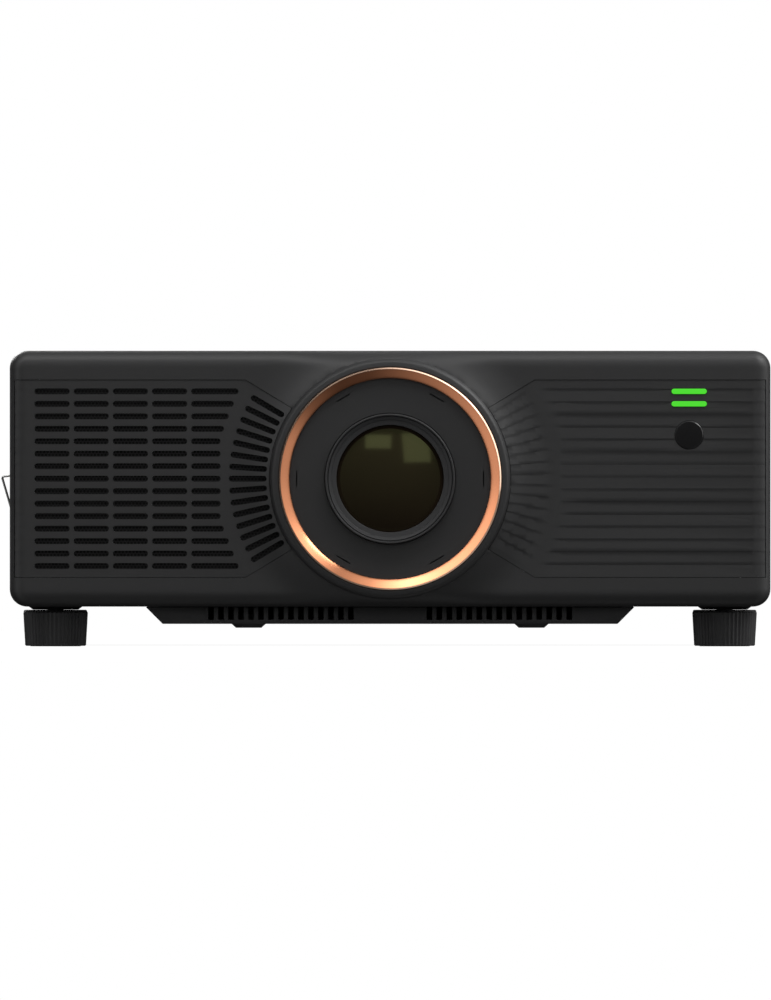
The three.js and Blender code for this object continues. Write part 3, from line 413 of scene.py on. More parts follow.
@dataclass(frozen=True)
class Finish:
    """A surface finish: what it is made of and how, and the slot of the record it stands for."""

    name: str
    slot: str
    colour: str
    second: str
    roughness: float
    pattern: Pattern
    grain: float  # millimetres across one grain, groove or brush line
    relief: float  # millimetres from the top of a grain to its foot
    spread: float = 0.06
    metallic: float = 0.0
    ior: float = 1.5
    specular: float = 0.5
    tint: str = "ffffff"
    glow: str = ""

    def relief_height(self, tree: bpy.types.NodeTree, place: bpy.types.NodeSocket) -> bpy.types.NodeSocket:
        """The height of the fine relief.

        Args:
            tree: the material's nodes.
            place: the coordinates.

        Returns:
            The socket that gives the height.
        """
        scale = 1 / (self.grain * MILLIMETRE)
        if self.pattern is Pattern.TURNED:
            centred = add_node(
                tree, "ShaderNodeVectorMath", {"operation": "SUBTRACT"}, {1: LENS_AXIS}, {0: place}
            )
            wave = add_node(
                tree, "ShaderNodeTexWave", {"wave_type": "RINGS", "rings_direction": "Y"},
                {"Scale": scale / 6, "Distortion": 0.4, "Detail": 2}, {"Vector": centred.outputs[0]},
            )
            return wave.outputs["Fac"]
        stretch = (1, 0.02, 1) if self.pattern is Pattern.BRUSHED else (1, 1, 1)
        mapped = add_node(tree, "ShaderNodeMapping", {}, {"Scale": stretch}, {"Vector": place})
        detail = 1.5 if self.pattern is Pattern.MOULDED else 4
        noise = add_node(
            tree, "ShaderNodeTexNoise", {}, {"Scale": scale, "Detail": detail, "Roughness": 0.55},
            {"Vector": mapped.outputs[0]}
        )
        return noise.outputs["Fac"]

    def material(self) -> bpy.types.Material:
        """The finish as a material, made once."""
        found = bpy.data.materials.get(self.name)
        if found:
            return found
        material = bpy.data.materials.new(self.name)
        material.use_nodes = True
        tree = material.node_tree
        shader = tree.nodes["Principled BSDF"]
        place = add_node(tree, "ShaderNodeTexCoord").outputs["Object"]
        height = self.relief_height(tree, place)
        cloud = add_node(
            tree, "ShaderNodeTexNoise", {}, {"Scale": 22, "Detail": 5, "Roughness": 0.6}, {"Vector": place}
        )
        tone = add_node(
            tree, "ShaderNodeMix", {"data_type": "RGBA"}, {6: linear(self.colour), 7: linear(self.second)},
            {0: cloud.outputs["Fac"]}
        )
        rough = add_node(
            tree, "ShaderNodeMapRange", {},
            {"To Min": self.roughness - self.spread, "To Max": self.roughness + self.spread},
            {"Value": cloud.outputs["Fac"]},
        )
        bump = add_node(
            tree, "ShaderNodeBump", {}, {"Strength": 1.0, "Distance": self.relief * MILLIMETRE},
            {"Height": height}
        )
        tree.links.new(tone.outputs[2], shader.inputs["Base Color"])
        tree.links.new(rough.outputs["Result"], shader.inputs["Roughness"])
        tree.links.new(bump.outputs["Normal"], shader.inputs["Normal"])
        shader.inputs["Metallic"].default_value = self.metallic
        if self.metallic == 0:
            shader.inputs["IOR"].default_value = self.ior
            shader.inputs["Specular IOR Level"].default_value = self.specular
            shader.inputs["Specular Tint"].default_value = linear(self.tint)
        if self.glow:
            shader.inputs["Emission Color"].default_value = linear(self.glow)
            shader.inputs["Emission Strength"].default_value = 1.0
        return material


def bare_material(name: str) -> tuple[bpy.types.Material, bpy.types.NodeSocket]:
    """An empty material and the coordinates of the piece that wears it."""
    material = bpy.data.materials.new(name)
    material.use_nodes = True
    material.node_tree.nodes.clear()
    return material, add_node(material.node_tree, "ShaderNodeTexCoord").outputs["Object"]


# Moulded ABS with a spark-eroded grain: a soft, even satin that breaks up every highlight.
CASE = Finish(
    "moulded_abs_black", "case_black", "2b2b2b", "272728", 0.46, Pattern.MOULDED, 1.3, 0.012, specular=0.38
)
# Moulded ABS on the hidden and lower pieces: the same plastic with a duller grain.
SOFT = Finish("moulded_abs_dull", "soft_black", "252526", "202021", 0.6, Pattern.MOULDED, 1.1, 0.015)
# Painted steel sheet: a thin dark coat with a faint orange peel.
SHEET = Finish("painted_steel_sheet", "dark_metal", "26282a", "202224", 0.5, Pattern.CAST, 1.6, 0.01)
# The same sheet perforated and painted matt, its colour darker than the plain sheet's as painted shade, so that
# the slots before it look deep.
PERFORATED_PAINTED_SHADE = Finish(
    "painted_perforated_sheet", "dark_metal", "1b1b1b", "171718", 0.6, Pattern.CAST, 0.8, 0.006, specular=0.3
)
# Anodised aluminium turned on a lathe: copper coloured, with concentric tool lines that draw its glints out.
COPPER = Finish(
    "anodised_aluminium_copper", "copper", "d9926b", "d18964", 0.17, Pattern.TURNED, 0.9, 0.002, spread=0.03,
    metallic=1.0
)
# The cut edge of the same ring: bare bright metal with only a breath of copper in it.
CUT_EDGE = Finish(
    "diamond_cut_aluminium", "copper", "f2cdb4", "e6c0a6", 0.2, Pattern.TURNED, 0.5, 0.001, spread=0.02,
    metallic=1.0
)
# Cast aluminium: pale grey and matt with a sandy skin.
ALUMINIUM = Finish(
    "cast_aluminium", "aluminium", "9a9ca0", "86888c", 0.42, Pattern.CAST, 1.2, 0.03, metallic=1.0
)
# Drawn steel wire and nickel-plated shells: bright with fine long lines.
STEEL = Finish(
    "nickel_plated_steel", "steel", "b4b4b2", "a2a2a0", 0.26, Pattern.BRUSHED, 0.5, 0.003, metallic=1.0
)
# Optical glass with a reflection-cutting coat: almost black, its reflections tinted olive.
GLASS = Finish(
    "coated_optical_glass", "lens_glass", "1d1611", "241b14", 0.1, Pattern.POLISHED, 40, 0.002, spread=0.03,
    ior=1.55, tint="e2ec9e"
)
# Dark acrylic that lets infrared through: smooth, black and glossy.
ACRYLIC = Finish(
    "dark_acrylic", "dark_window", "0a0a0b", "0d0d0e", 0.16, Pattern.POLISHED, 8, 0.002, spread=0.02, ior=1.49
)
# Frosted acrylic over green diodes: an even glow with a slight cloudiness.
LAMP = Finish(
    "frosted_acrylic_green", "green_light", "12300c", "0e280a", 0.4, Pattern.POLISHED, 2, 0.004,
    glow="4cd930", specular=0.2
)
# Open-cell foam: near-black and matt, put behind the slots, seams and gaps as painted shade that keeps them
# dark.
SHADE_FOAM = Finish("filter_foam", "soft_black", "101010", "0b0b0b", 0.95, Pattern.CAST, 1.0, 0.2)
# Natural rubber: flat black with a mealy surface.
RUBBER = Finish("moulded_rubber", "rubber", "161616", "1b1b1a", 0.85, Pattern.CAST, 0.8, 0.04)
# Epoxy circuit board under green solder mask: slightly glossy with woven glass beneath.
BOARD = Finish("solder_mask_green", "circuit_board", "1d4a2e", "173d26", 0.4, Pattern.BRUSHED, 0.9, 0.01)
# Screen-printed ink: off-white and flat.
INK = Finish("screen_printed_ink", "aluminium", "b9bab8", "aeafad", 0.6, Pattern.CAST, 0.5, 0.004)


# ---- Places ----


@dataclass(frozen=True)
class Datum:
    """Planes of the case that every piece is placed from."""

    side: float
    front: float
    back: float
    floor: float
    roof: float
    split: float
    middle: float

    @classmethod
    def read(cls) -> "Datum":
        """The planes as the frame has them."""
        case, cover, tray, window = (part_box(n) for n in ("lower_case", "top_cover", "base_tray", "ir_window"))
        floor, roof = tray[1].z + GAP, cover[1].z
        return cls(
            case[1].x, window[0].y + 0.0002, case[1].y, floor, roof, cover[0].z - GAP / 2, (floor + roof) / 2
        )


DATUM = Datum.read()
LENS_AXIS = (0.0, DATUM.front, DATUM.middle)
KNOBS = [f"foot_knob_{place}" for place in ("front_left", "front_right", "rear_left", "rear_right")]


def dress(piece: Piece, finish: Finish, angle: float = 32) -> Piece:
    """Gives a piece its finish and smooth shading that keeps its edges.

    Args:
        piece: the piece.
        finish: its finish.
        angle: the turn in degrees from which an edge stays sharp.

    Returns:
        The same piece.
    """
    piece.data.materials.clear()
    piece.data.materials.append(finish.material())
    activate(piece)
    bpy.ops.object.shade_smooth_by_angle(angle=math.radians(angle))
    return piece


def place_on(
    piece: Piece, finish: Finish, node: str, stands_for: Sequence[str] = (), angle: float = 32
) -> Piece:
    """Dresses a piece and lets it move with the body of a node.

    Args:
        piece: the piece.
        finish: its finish.
        node: the node whose body carries it.
        stands_for: the nodes it is shown in place of.
        angle: the turn in degrees from which an edge stays sharp.

    Returns:
        The same piece.
    """
    dress(piece, finish, angle)
    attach(piece, frame["nodes"][node]["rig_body"])
    if stands_for:
        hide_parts(*stands_for)
    LOG.info("%s: %s, %d faces", piece.name, finish.name, len(piece.data.polygons))
    return piece


def rounded_block(name: str, low: Point, high: Point, corner: float, fillet: float, end: float) -> Piece:
    """A box with its long edges rounded and one end filleted.

    Args:
        name: the piece's name.
        low: its lowest corner.
        high: its highest corner.
        corner: the radius of the edges along Y.
        fillet: the radius round the end.
        end: the place along Y of the end with the fillet.

    Returns:
        The rounded box.
    """
    piece = block(name, low, high)
    with editing(piece, "EDGE"):
        pick_edges(piece, lambda a, b: abs(a.y - b.y) > TINY)
        bpy.ops.mesh.bevel(offset=corner, segments=10, affect="EDGES")
        pick_edges(piece, lambda a, b: abs(a.y - end) < TINY and abs(b.y - end) < TINY)
        bpy.ops.mesh.bevel(offset=fillet, segments=8, affect="EDGES", clamp_overlap=False)
    return piece


# ---- Front ----


@dataclass
class Front:
    """The bezel with its flare and cowl, the grille and the closed panel set in it, and the lights."""

    corner: float = 0.0115
    fillet: float = 0.010
    wall: float = 0.0025
    depth: float = 0.030
    flare_radius: float = 0.106
    cowl_radius: float = 0.0792
    crown_radius: float = 0.0765
    bore_radius: float = 0.0733
    rise: float = 0.008
    crown: float = 0.003
    sleeve: float = 0.013
    border: float = 0.019
    edge: float = 0.003
    shoulder: float = 0.095
    arc_angle: float = 35.9
    recess: float = 0.0005
    grid: float = 0.003
    rows: int = 15
    pitch: float = 0.0082
    slot_height: float = 0.0038
    slot_length: float = 0.0231
    column_pitch: float = 0.02575
    first_slot: float = 0.2337
    inner_slot: float = 0.1307
    ray_angle: float = 4.37
    ray_inner: float = 0.0811
    step_depth: float = 0.0003
    step_height: float = 0.0006
    step_fade: float = 0.005
    edge_share: float = 0.4
    step_offset: float = 0.0016
    mesh_pitch: float = 0.0023
    row_limit: float = 0.1114
    row_nearest: float = 0.0996
    row_slope: float = 0.39
    seam: float = 0.238
    seam_width: float = 0.0002
    facet_fade: float = 0.003
    facet_lead: float = 0.9
    filter: float = 0.004
    felt: float = 0.001
    layer_inset: float = 0.00005

    def row_end(self, height: float) -> float:
        """How close to the lens a row comes, for its height from the middle."""
        top = (self.rows - 1) / 2 * self.pitch
        return min(self.row_limit, self.row_nearest + self.row_slope * (top - abs(height)))

    def bulge(self, point: Vector) -> Vector:
        """A point of the plain front moved out by the flare round the lens."""
        radius = math.hypot(point.x, point.z - DATUM.middle)
        share = min(1, max(0, (self.flare_radius - radius) / (self.flare_radius - self.cowl_radius)))
        room = self.depth - self.fillet
        fade = min(1, max(0, (DATUM.front + self.depth - point.y) / room))
        return point - Vector((0, self.rise * share**2 * fade, 0))

    def saw(self, turns: float, lead: float) -> float:
        """A lapped board's depth from 0 at its lower edge to 1 at its top, with a short way back.

        Args:
            turns: the place counted in boards.
            lead: the share of a board that slopes in.
        """
        share = turns % 1
        return share / lead if share <= lead else (1 - share) / (1 - lead)

    def step(self, point: Vector, inner: Callable[[float], float]) -> float:
        """How deep the lapped boards sink a point of the front.

        Args:
            point: a point of the plain front.
            inner: where the boards start along X, for a height from the middle.
        """
        height = point.z - DATUM.middle
        across = abs(point.x)
        half = (self.rows - 1) / 2 * self.pitch
        low, high = self.step_offset - half - self.pitch, self.step_offset + half
        if across <= inner(height) or not low < height < high:
            return 0.0
        fade = min(1, (across - inner(height)) / self.step_fade)
        if across > self.seam:
            fade *= self.edge_share
        turns = (height - self.step_offset) / self.pitch
        return self.step_depth * fade * self.saw(turns, 1 - self.step_height / self.pitch)

    def lap(self, point: Vector) -> Vector:
        """A point of the right side moved in by its boards and by the facets that fan out from the lens."""
        if point.x < 0 or point.y > DATUM.front + self.fillet:
            return point
        depth = self.step(point, self.row_end)
        height = point.z - DATUM.middle
        radius, angle = math.hypot(point.x, height), math.degrees(math.atan2(height, point.x))
        if self.cowl_radius < radius < self.flare_radius and abs(angle) < self.rows / 2 * self.ray_angle:
            edge = min(1, (self.flare_radius - radius) / self.facet_fade)
            turns = angle / self.ray_angle + 0.5
            depth = self.step_depth * edge * self.saw(turns, self.facet_lead)
        return point + self.inward(point) * depth

    def dash(self, point: Vector) -> Vector:
        """A point of the left side moved in by the short boards on its outer edge."""
        if point.x > 0 or point.y > DATUM.front + self.fillet:
            return point
        return point + self.inward(point) * self.step(point, lambda height: self.seam - self.seam_width / 2)

    def inward(self, point: Vector) -> Vector:
        """The direction into the case at a point of the front or its side fillet."""
        over = abs(point.x) - (DATUM.side - self.fillet)
        if over <= 0:
            return Vector((0, 1, 0))
        away = Vector((math.copysign(over, point.x), point.y - DATUM.front - self.fillet, 0))
        return -away.normalized()

    def planes(self) -> list[tuple[Point, Point]]:
        """The planes that slice the front where it bends, as points and normals."""
        made = []
        count = int((self.row_limit + self.step_fade) / self.grid)
        for i in range(-count, count + 1):
            made.append(((i * self.grid, 0, 0), (1, 0, 0)))
        half = self.seam_width / 2
        for sign in (-1, 1):
            for x in (self.row_limit, self.row_limit + self.seam_width, self.seam - half, self.seam + half):
                made.append(((sign * x, 0, 0), (1, 0, 0)))
        half = (DATUM.roof - DATUM.floor) / 2 - self.fillet
        for i in range(int(-half / self.grid), int(half / self.grid) + 1):
            made.append(((0, 0, DATUM.middle + i * self.grid), (0, 0, 1)))
        for i in range(-(self.rows // 2) - 1, self.rows // 2 + 1):
            line = DATUM.middle + i * self.pitch + self.step_offset
            made += [((0, 0, line), (0, 0, 1)), ((0, 0, line - self.step_height), (0, 0, 1))]
        for i in range(self.rows + 1):
            for offset in (0.0, -0.1):
                angle = math.radians((i + offset - self.rows / 2) * self.ray_angle)
                made.append(((0, 0, DATUM.middle), (-math.sin(angle), 0, math.cos(angle))))
        return made

    def outside(self, name: str, inset: float, planes: Sequence[tuple[Point, Point]]) -> Piece:
        """The front end of the case as a solid, moved in by an inset.

        Args:
            name: the piece's name.
            inset: how far its faces lie inside the case's.
            planes: where it is sliced before the flare is raised.

        Returns:
            The solid.
        """
        side, front = DATUM.side - inset, DATUM.front + inset
        low = (-side, front, DATUM.floor + inset)
        high = (side, DATUM.front + self.depth + inset * 2, DATUM.roof - inset)
        piece = rounded_block(name, low, high, self.corner - inset, self.fillet - inset, front)
        with editing(piece):
            for point, normal in planes:
                bpy.ops.mesh.select_all(action="SELECT")
                bpy.ops.mesh.bisect(plane_co=point, plane_no=normal)
        return piece

    def window(self, sign: int, inset: float) -> Piece:
        """The solid that cuts a panel's window, moved in by an inset.

        Args:
            sign: 1 for the right and -1 for the left.
            inset: how far it lies inside the window.

        Returns:
            The cutting solid.
        """
        top = (DATUM.roof - DATUM.floor) / 2 - self.border - inset
        edge = DATUM.side - self.edge - inset
        angle = math.radians(self.arc_angle)
        foot = Vector((math.cos(angle), math.sin(angle))) * self.cowl_radius
        along = (foot - Vector((self.shoulder, top + inset))).normalized()
        start = Vector((self.shoulder, top + inset)) + Vector((-along.y, along.x)) * inset
        start += along * ((top - start.y) / along.y)
        radius = self.cowl_radius + inset
        reach = start.dot(along)
        end = start + along * (-reach - math.sqrt(reach**2 - start.length_squared + radius**2))
        limit, steps = math.atan2(end.y, end.x), 32
        points = [(edge, -top), (edge, top), (start.x, top)]
        for i in range(steps + 1):
            turn = limit * (1 - 2 * i / steps)
            points.append((radius * math.cos(turn), radius * math.sin(turn)))
        points.append((start.x, -top))
        near = DATUM.front - 0.02
        outline = [(sign * x, near, DATUM.middle + z) for x, z in points]
        return prism("window", outline, (0, DATUM.front + self.fillet + self.wall - near, 0))

    def cowl(self) -> Piece:
        """The round collar that stands out round the lens."""
        lip = -self.rise - self.crown
        inner = self.cowl_radius - self.wall
        profile = [
            (inner, self.sleeve), (self.cowl_radius, self.sleeve), (self.cowl_radius, -self.rise + 0.0004),
            (self.cowl_radius - 0.0004, -self.rise - 0.0006), (self.crown_radius + 0.0006, lip + 0.0002),
            (self.crown_radius - 0.0003, lip - 0.0002), (self.bore_radius + 0.0006, lip - 0.0005),
            (self.bore_radius, lip), (self.bore_radius, -0.0055), (inner, -0.0055),
        ]
        return turned("cowl", profile, LENS_AXIS, steps=160)

    def slots(self) -> Piece:
        """All the slots of the grille as one cutting solid."""
        push = (0, 0.02, 0)
        near = DATUM.front - 0.015
        centre = (0, near, DATUM.middle)
        half = self.rows // 2
        heights = [i * self.pitch for i in range(-half, half + 1)]
        plain = prism("slot", capsule(0, self.slot_length, self.slot_height, centre), push)
        columns = [-self.first_slot + i * self.column_pitch for i in range(4)]
        bars = repeated("slots", plain, [shifted(x, 0, z) for x in columns for z in heights])
        inner = [
            prism(
                "slot",
                capsule(-self.inner_slot, -self.row_end(z), self.slot_height, (0, near, DATUM.middle + z)),
                push
            )
            for z in heights
        ]
        ray = prism("ray", capsule(-self.flare_radius, -self.ray_inner, self.slot_height, centre), push)
        turns = [turned_about(centre, i * self.ray_angle, Axis.Y) for i in range(-half, half + 1)]
        return joined("slots", [bars, *inner, repeated("rays", ray, turns)])

    def build_shell(self) -> None:
        """Builds the bezel and the two panels."""
        solid = self.outside("solid", 0, self.planes())
        inner = reshape(self.outside("inner", self.wall, self.planes()[::2]), self.bulge)
        bezel = reshape(copied(solid, Matrix(), "bezel"), self.bulge)
        shape_with(bezel, copied(inner, Matrix()), Cut.AWAY)
        for sign in (-1, 1):
            shape_with(bezel, self.window(sign, 0), Cut.AWAY)
        throat = (self.cowl_radius + self.crown_radius) / 2
        profile = [(0, -0.02), (throat, -0.02), (throat, 0.02), (0, 0.02)]
        shape_with(bezel, turned("throat", profile, LENS_AXIS, steps=160), Cut.AWAY)
        shape_with(bezel, self.cowl(), Cut.ADD)
        place_on(bezel, CASE, "front_bezel", ["front_bezel"])
        panels = []
        for name, sign, relief in (("grille_panel", -1, self.dash), ("closed_panel", 1, self.lap)):
            panel = reshape(copied(solid, Matrix(), name), lambda p, relief=relief: self.bulge(relief(p)))
            shape_with(panel, self.window(sign, GAP), Cut.KEEP)
            shape_with(panel, copied(inner, Matrix()), Cut.AWAY)
            panel.data.transform(shifted(y=self.recess))
            panels.append(panel)
        for tool in (solid, inner):
            bpy.data.objects.remove(tool)
        shape_with(panels[0], self.slots(), Cut.AWAY)
        place_on(panels[0], CASE, "left_grille", ["left_grille"])
        for name in ("status_light_upper", "status_light_lower"):
            low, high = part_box(name)
            place = (0, low.y - 0.005, (low.z + high.z) / 2)
            outline = capsule(low.x - GAP, high.x + GAP, high.z - low.z + 2 * GAP, place)
            shape_with(panels[1], prism("hole", outline, (0, 0.02, 0)), Cut.AWAY)
        low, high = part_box("ir_window")
        radius = (high.x - low.x) / 2 + GAP
        centre = ((low.x + high.x) / 2, low.y, (low.z + high.z) / 2)
        profile = [(0, -0.01), (radius, -0.01), (radius, 0.01), (0, 0.01)]
        shape_with(panels[1], turned("hole", profile, centre, steps=64), Cut.AWAY)
        place_on(panels[1], CASE, "right_panel", ["right_panel"])

    def build_mesh(self) -> None:
        """Builds the perforated sheet behind the slots from one six-sided cell."""
        low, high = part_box("grille_mesh")
        cell = self.mesh_pitch / math.sqrt(3)
        bpy.ops.mesh.primitive_circle_add(
            vertices=6, radius=cell, fill_type="NGON", location=(low.x, low.y, low.z),
            rotation=(math.pi / 2, 0, 0)
        )
        sheet = bpy.context.active_object
        sheet.name = "perforated_sheet"
        bpy.ops.object.transform_apply(location=True, rotation=True, scale=True)
        with editing(sheet):
            bpy.ops.mesh.inset(thickness=self.mesh_pitch * 0.17)
            bpy.ops.mesh.delete(type="FACE")
        row = 1.5 * cell
        counts = (2, int((high.x - low.x) / self.mesh_pitch) + 2, int((high.z - low.z) / (2 * row)) + 2)
        moves = ((self.mesh_pitch / 2, 0, row), (self.mesh_pitch, 0, 0), (0, 0, 2 * row))
        activate(sheet)
        for count, move in zip(counts, moves):
            array = sheet.modifiers.new("cells", "ARRAY")
            array.count, array.use_relative_offset, array.use_constant_offset = count, False, True
            array.constant_offset_displace = move
            bpy.ops.object.modifier_apply(modifier=array.name)
        tidy(sheet)
        thick = sheet.modifiers.new("thickness", "SOLIDIFY")
        thick.thickness, thick.offset = high.y - low.y, 0
        bpy.ops.object.modifier_apply(modifier=thick.name)
        sheet.data.transform(shifted(y=(high.y - low.y) / 2 + self.recess))
        trim = copied(frame["nodes"]["grille_mesh"], Matrix(), "trim")
        trim.parent = None
        tidy(trim)
        for vertex in trim.data.vertices:
            vertex.co.y += 0.002 if vertex.co.y > (low.y + high.y) / 2 else -0.002
        shape_with(sheet, trim, Cut.KEEP)
        # The sheet's darker colour is painted shade that makes the slots look deep.
        place_on(sheet, PERFORATED_PAINTED_SHADE, "grille_mesh", ["grille_mesh"])

    def build_backing(self) -> None:
        """Builds near-black foam sheets behind the slots and behind the closed panel, as painted shade that
        keeps them dark.
        """
        edge = DATUM.side - self.fillet + self.wall
        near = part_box("grille_mesh")[1].y + self.recess + GAP
        layers = (
            ("air_filter", -1, self.filter, "left_grille"), ("sealing_felt", 1, self.felt, "right_panel")
        )
        for name, sign, depth, node in layers:
            sheet = self.window(sign, self.layer_inset)
            sheet.name = name
            shape_with(
                sheet, block("layer", (-edge, near, DATUM.floor), (edge, near + depth, DATUM.roof)), Cut.KEEP
            )
            # Each sheet is a dark layer that stands for the shade behind the openings.
            place_on(sheet, SHADE_FOAM, node)

    def build_lights(self) -> None:
        """Builds the two light bars and the receiver's window."""
        for name in ("status_light_upper", "status_light_lower"):
            low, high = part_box(name)
            outline = capsule(low.x, high.x, high.z - low.z, (0, low.y, (low.z + high.z) / 2))
            bar = prism(name.replace("status", "green"), outline, (0, high.y - low.y, 0))
            place_on(soften(bar, 0.0004, 3, 60), LAMP, name, [name])
        low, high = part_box("ir_window")
        radius, depth = (high.x - low.x) / 2, high.y - low.y
        centre = ((low.x + high.x) / 2, low.y, (low.z + high.z) / 2)
        profile = [
            (0, 0), (radius * 0.6, 0.00008), (radius - 0.0006, 0.0002), (radius, 0.0007), (radius, depth),
            (0, depth)
        ]
        place_on(turned("receiver_window", profile, centre, steps=64), ACRYLIC, "ir_window", ["ir_window"])

    def build(self) -> None:
        """Builds every piece of the front."""
        self.build_shell()
        self.build_mesh()
        self.build_backing()
        self.build_lights()


# ---- Case ----


@dataclass
class Case:
    """The lower case, its top cover and the tray under it."""

    corner: float = 0.0115
    fillet: float = 0.010
    wall: float = 0.0025
    rear_border: float = 0.015
    boss_top: float = 0.01775
    boss_bottom: float = 0.0154
    vents: int = 15
    vent_pitch: float = 0.00657
    vent_width: float = 0.0037
    vent_height: float = 0.0087
    first_vent: float = 0.0258
    pad_x: float = 0.0933
    pad_y: float = 0.130
    pad_face: float = 0.00845
    pad_root: float = 0.01155
    pad_height: float = 0.006
    screw_radius: float = 0.0026
    stud_hole: float = 0.0034
    air_from: float = 0.055
    air_to: float = 0.085

    def shell(self) -> Piece:
        """The hollow case behind the bezel, open at the front."""
        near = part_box("top_cover")[0].y
        low, high = (-DATUM.side, near, DATUM.floor), (DATUM.side, DATUM.back, DATUM.roof)
        shell = rounded_block("shell", low, high, self.corner, self.fillet, DATUM.back)
        wall = Vector((self.wall,) * 3)
        low, high = Vector(low) + wall, Vector(high) - wall
        low.y = near - wall.y
        hollow = rounded_block("hollow", low, high, self.corner - self.wall, self.fillet - self.wall, high.y)
        return shape_with(shell, hollow, Cut.AWAY)

    def build_shells(self) -> None:
        """Builds the top cover and the lower case with its openings and bosses."""
        far, shell = 1.0, self.shell()
        cover = copied(shell, Matrix(), "cover")
        shape_with(cover, block("region", (-far, -far, DATUM.split + GAP / 2), (far, far, far)), Cut.KEEP)
        place_on(cover, CASE, "top_cover", ["top_cover"])
        shell.name = "case"
        shape_with(shell, block("region", (-far, -far, -far), (far, far, DATUM.split - GAP / 2)), Cut.KEEP)
        edge = DATUM.side - self.rear_border
        low = (-edge, DATUM.back - 0.02, DATUM.floor + self.rear_border)
        shape_with(shell, block("rear", low, (edge, DATUM.back + 0.02, far)), Cut.AWAY)
        low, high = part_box("ac_inlet")
        room = Vector((0, GAP, GAP))
        shape_with(shell, block("inlet", low - room - Vector((0.01, 0, 0)), high + room), Cut.AWAY)
        reach = self.first_vent + (self.vents - 1) * self.vent_pitch
        for x in ((-reach, -self.first_vent), (self.first_vent, reach)):
            low = (x[0], DATUM.front + self.air_from, DATUM.floor - 0.005)
            high = (x[1], DATUM.front + self.air_to, DATUM.floor + 0.005)
            shape_with(shell, block("air", low, high), Cut.AWAY)
        for knob in KNOBS:
            low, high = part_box(knob)
            centre = ((low.x + high.x) / 2, (low.y + high.y) / 2, DATUM.floor)
            profile = [
                (self.stud_hole, -0.002), (self.boss_bottom - 0.0004, -0.002), (self.boss_bottom, -0.0017),
                (self.boss_top, 0), (self.boss_top, 0.001), (self.stud_hole, 0.001),
            ]
            shape_with(shell, turned("boss", profile, centre, Axis.Z, 64), Cut.ADD)
        place_on(shell, CASE, "lower_case", ["lower_case"])

    def build_tray(self) -> None:
        """Builds the shallow tray under the case, its vents and its four fixing pads."""
        low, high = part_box("base_tray")
        base, top = 0.0, high.z
        slope = high.x - top
        outline = [(-slope, low.y, base), (slope, low.y, base), (high.x, low.y, top), (-high.x, low.y, top)]
        tray = soften(prism("tray", outline, (0, high.y - low.y, 0)), 0.0005, 2, 30)
        wall = self.wall
        inner = [(-slope, wall), (slope, wall), (high.x, top + 0.002), (-high.x, top + 0.002)]
        near = low.y + wall
        hollow = prism("hollow", [(x * 0.985, near, z) for x, z in inner], (0, high.y - low.y - 2 * wall, 0))
        shape_with(tray, hollow, Cut.AWAY)
        z = (DATUM.floor - self.vent_height, DATUM.floor + 0.001)
        vent = block(
            "vent", (-self.vent_width / 2, low.y - 0.001, z[0]), (self.vent_width / 2, near + 0.001, z[1])
        )
        places = [self.first_vent + i * self.vent_pitch for i in range(self.vents)]
        shape_with(
            tray, repeated("vents", vent, [shifted(sign * x) for x in places for sign in (-1, 1)]), Cut.AWAY
        )
        profile = [
            (0, low.z), (self.pad_face, low.z), (self.pad_face + 0.0004, low.z + 0.0004),
            (self.pad_root, 0.0),
            (self.pad_root, self.pad_height), (0, self.pad_height),
        ]
        pad = turned("pad", profile, (0, 0, 0), Axis.Z, 48)
        end, radius = low.z - 0.001, self.screw_radius
        hole = turned("hole", [(0, end), (radius, end), (radius, 0.005), (0, 0.005)], (0, 0, 0), Axis.Z, 24)
        shape_with(pad, hole, Cut.AWAY)
        corners = [shifted(sx * self.pad_x, sy * self.pad_y) for sx in (-1, 1) for sy in (-1, 1)]
        shape_with(tray, repeated("pads", pad, corners), Cut.ADD)
        place_on(tray, SOFT, "base_tray", ["base_tray"])

    def build(self) -> None:
        """Builds every piece of the case."""
        self.build_shells()
        self.build_tray()


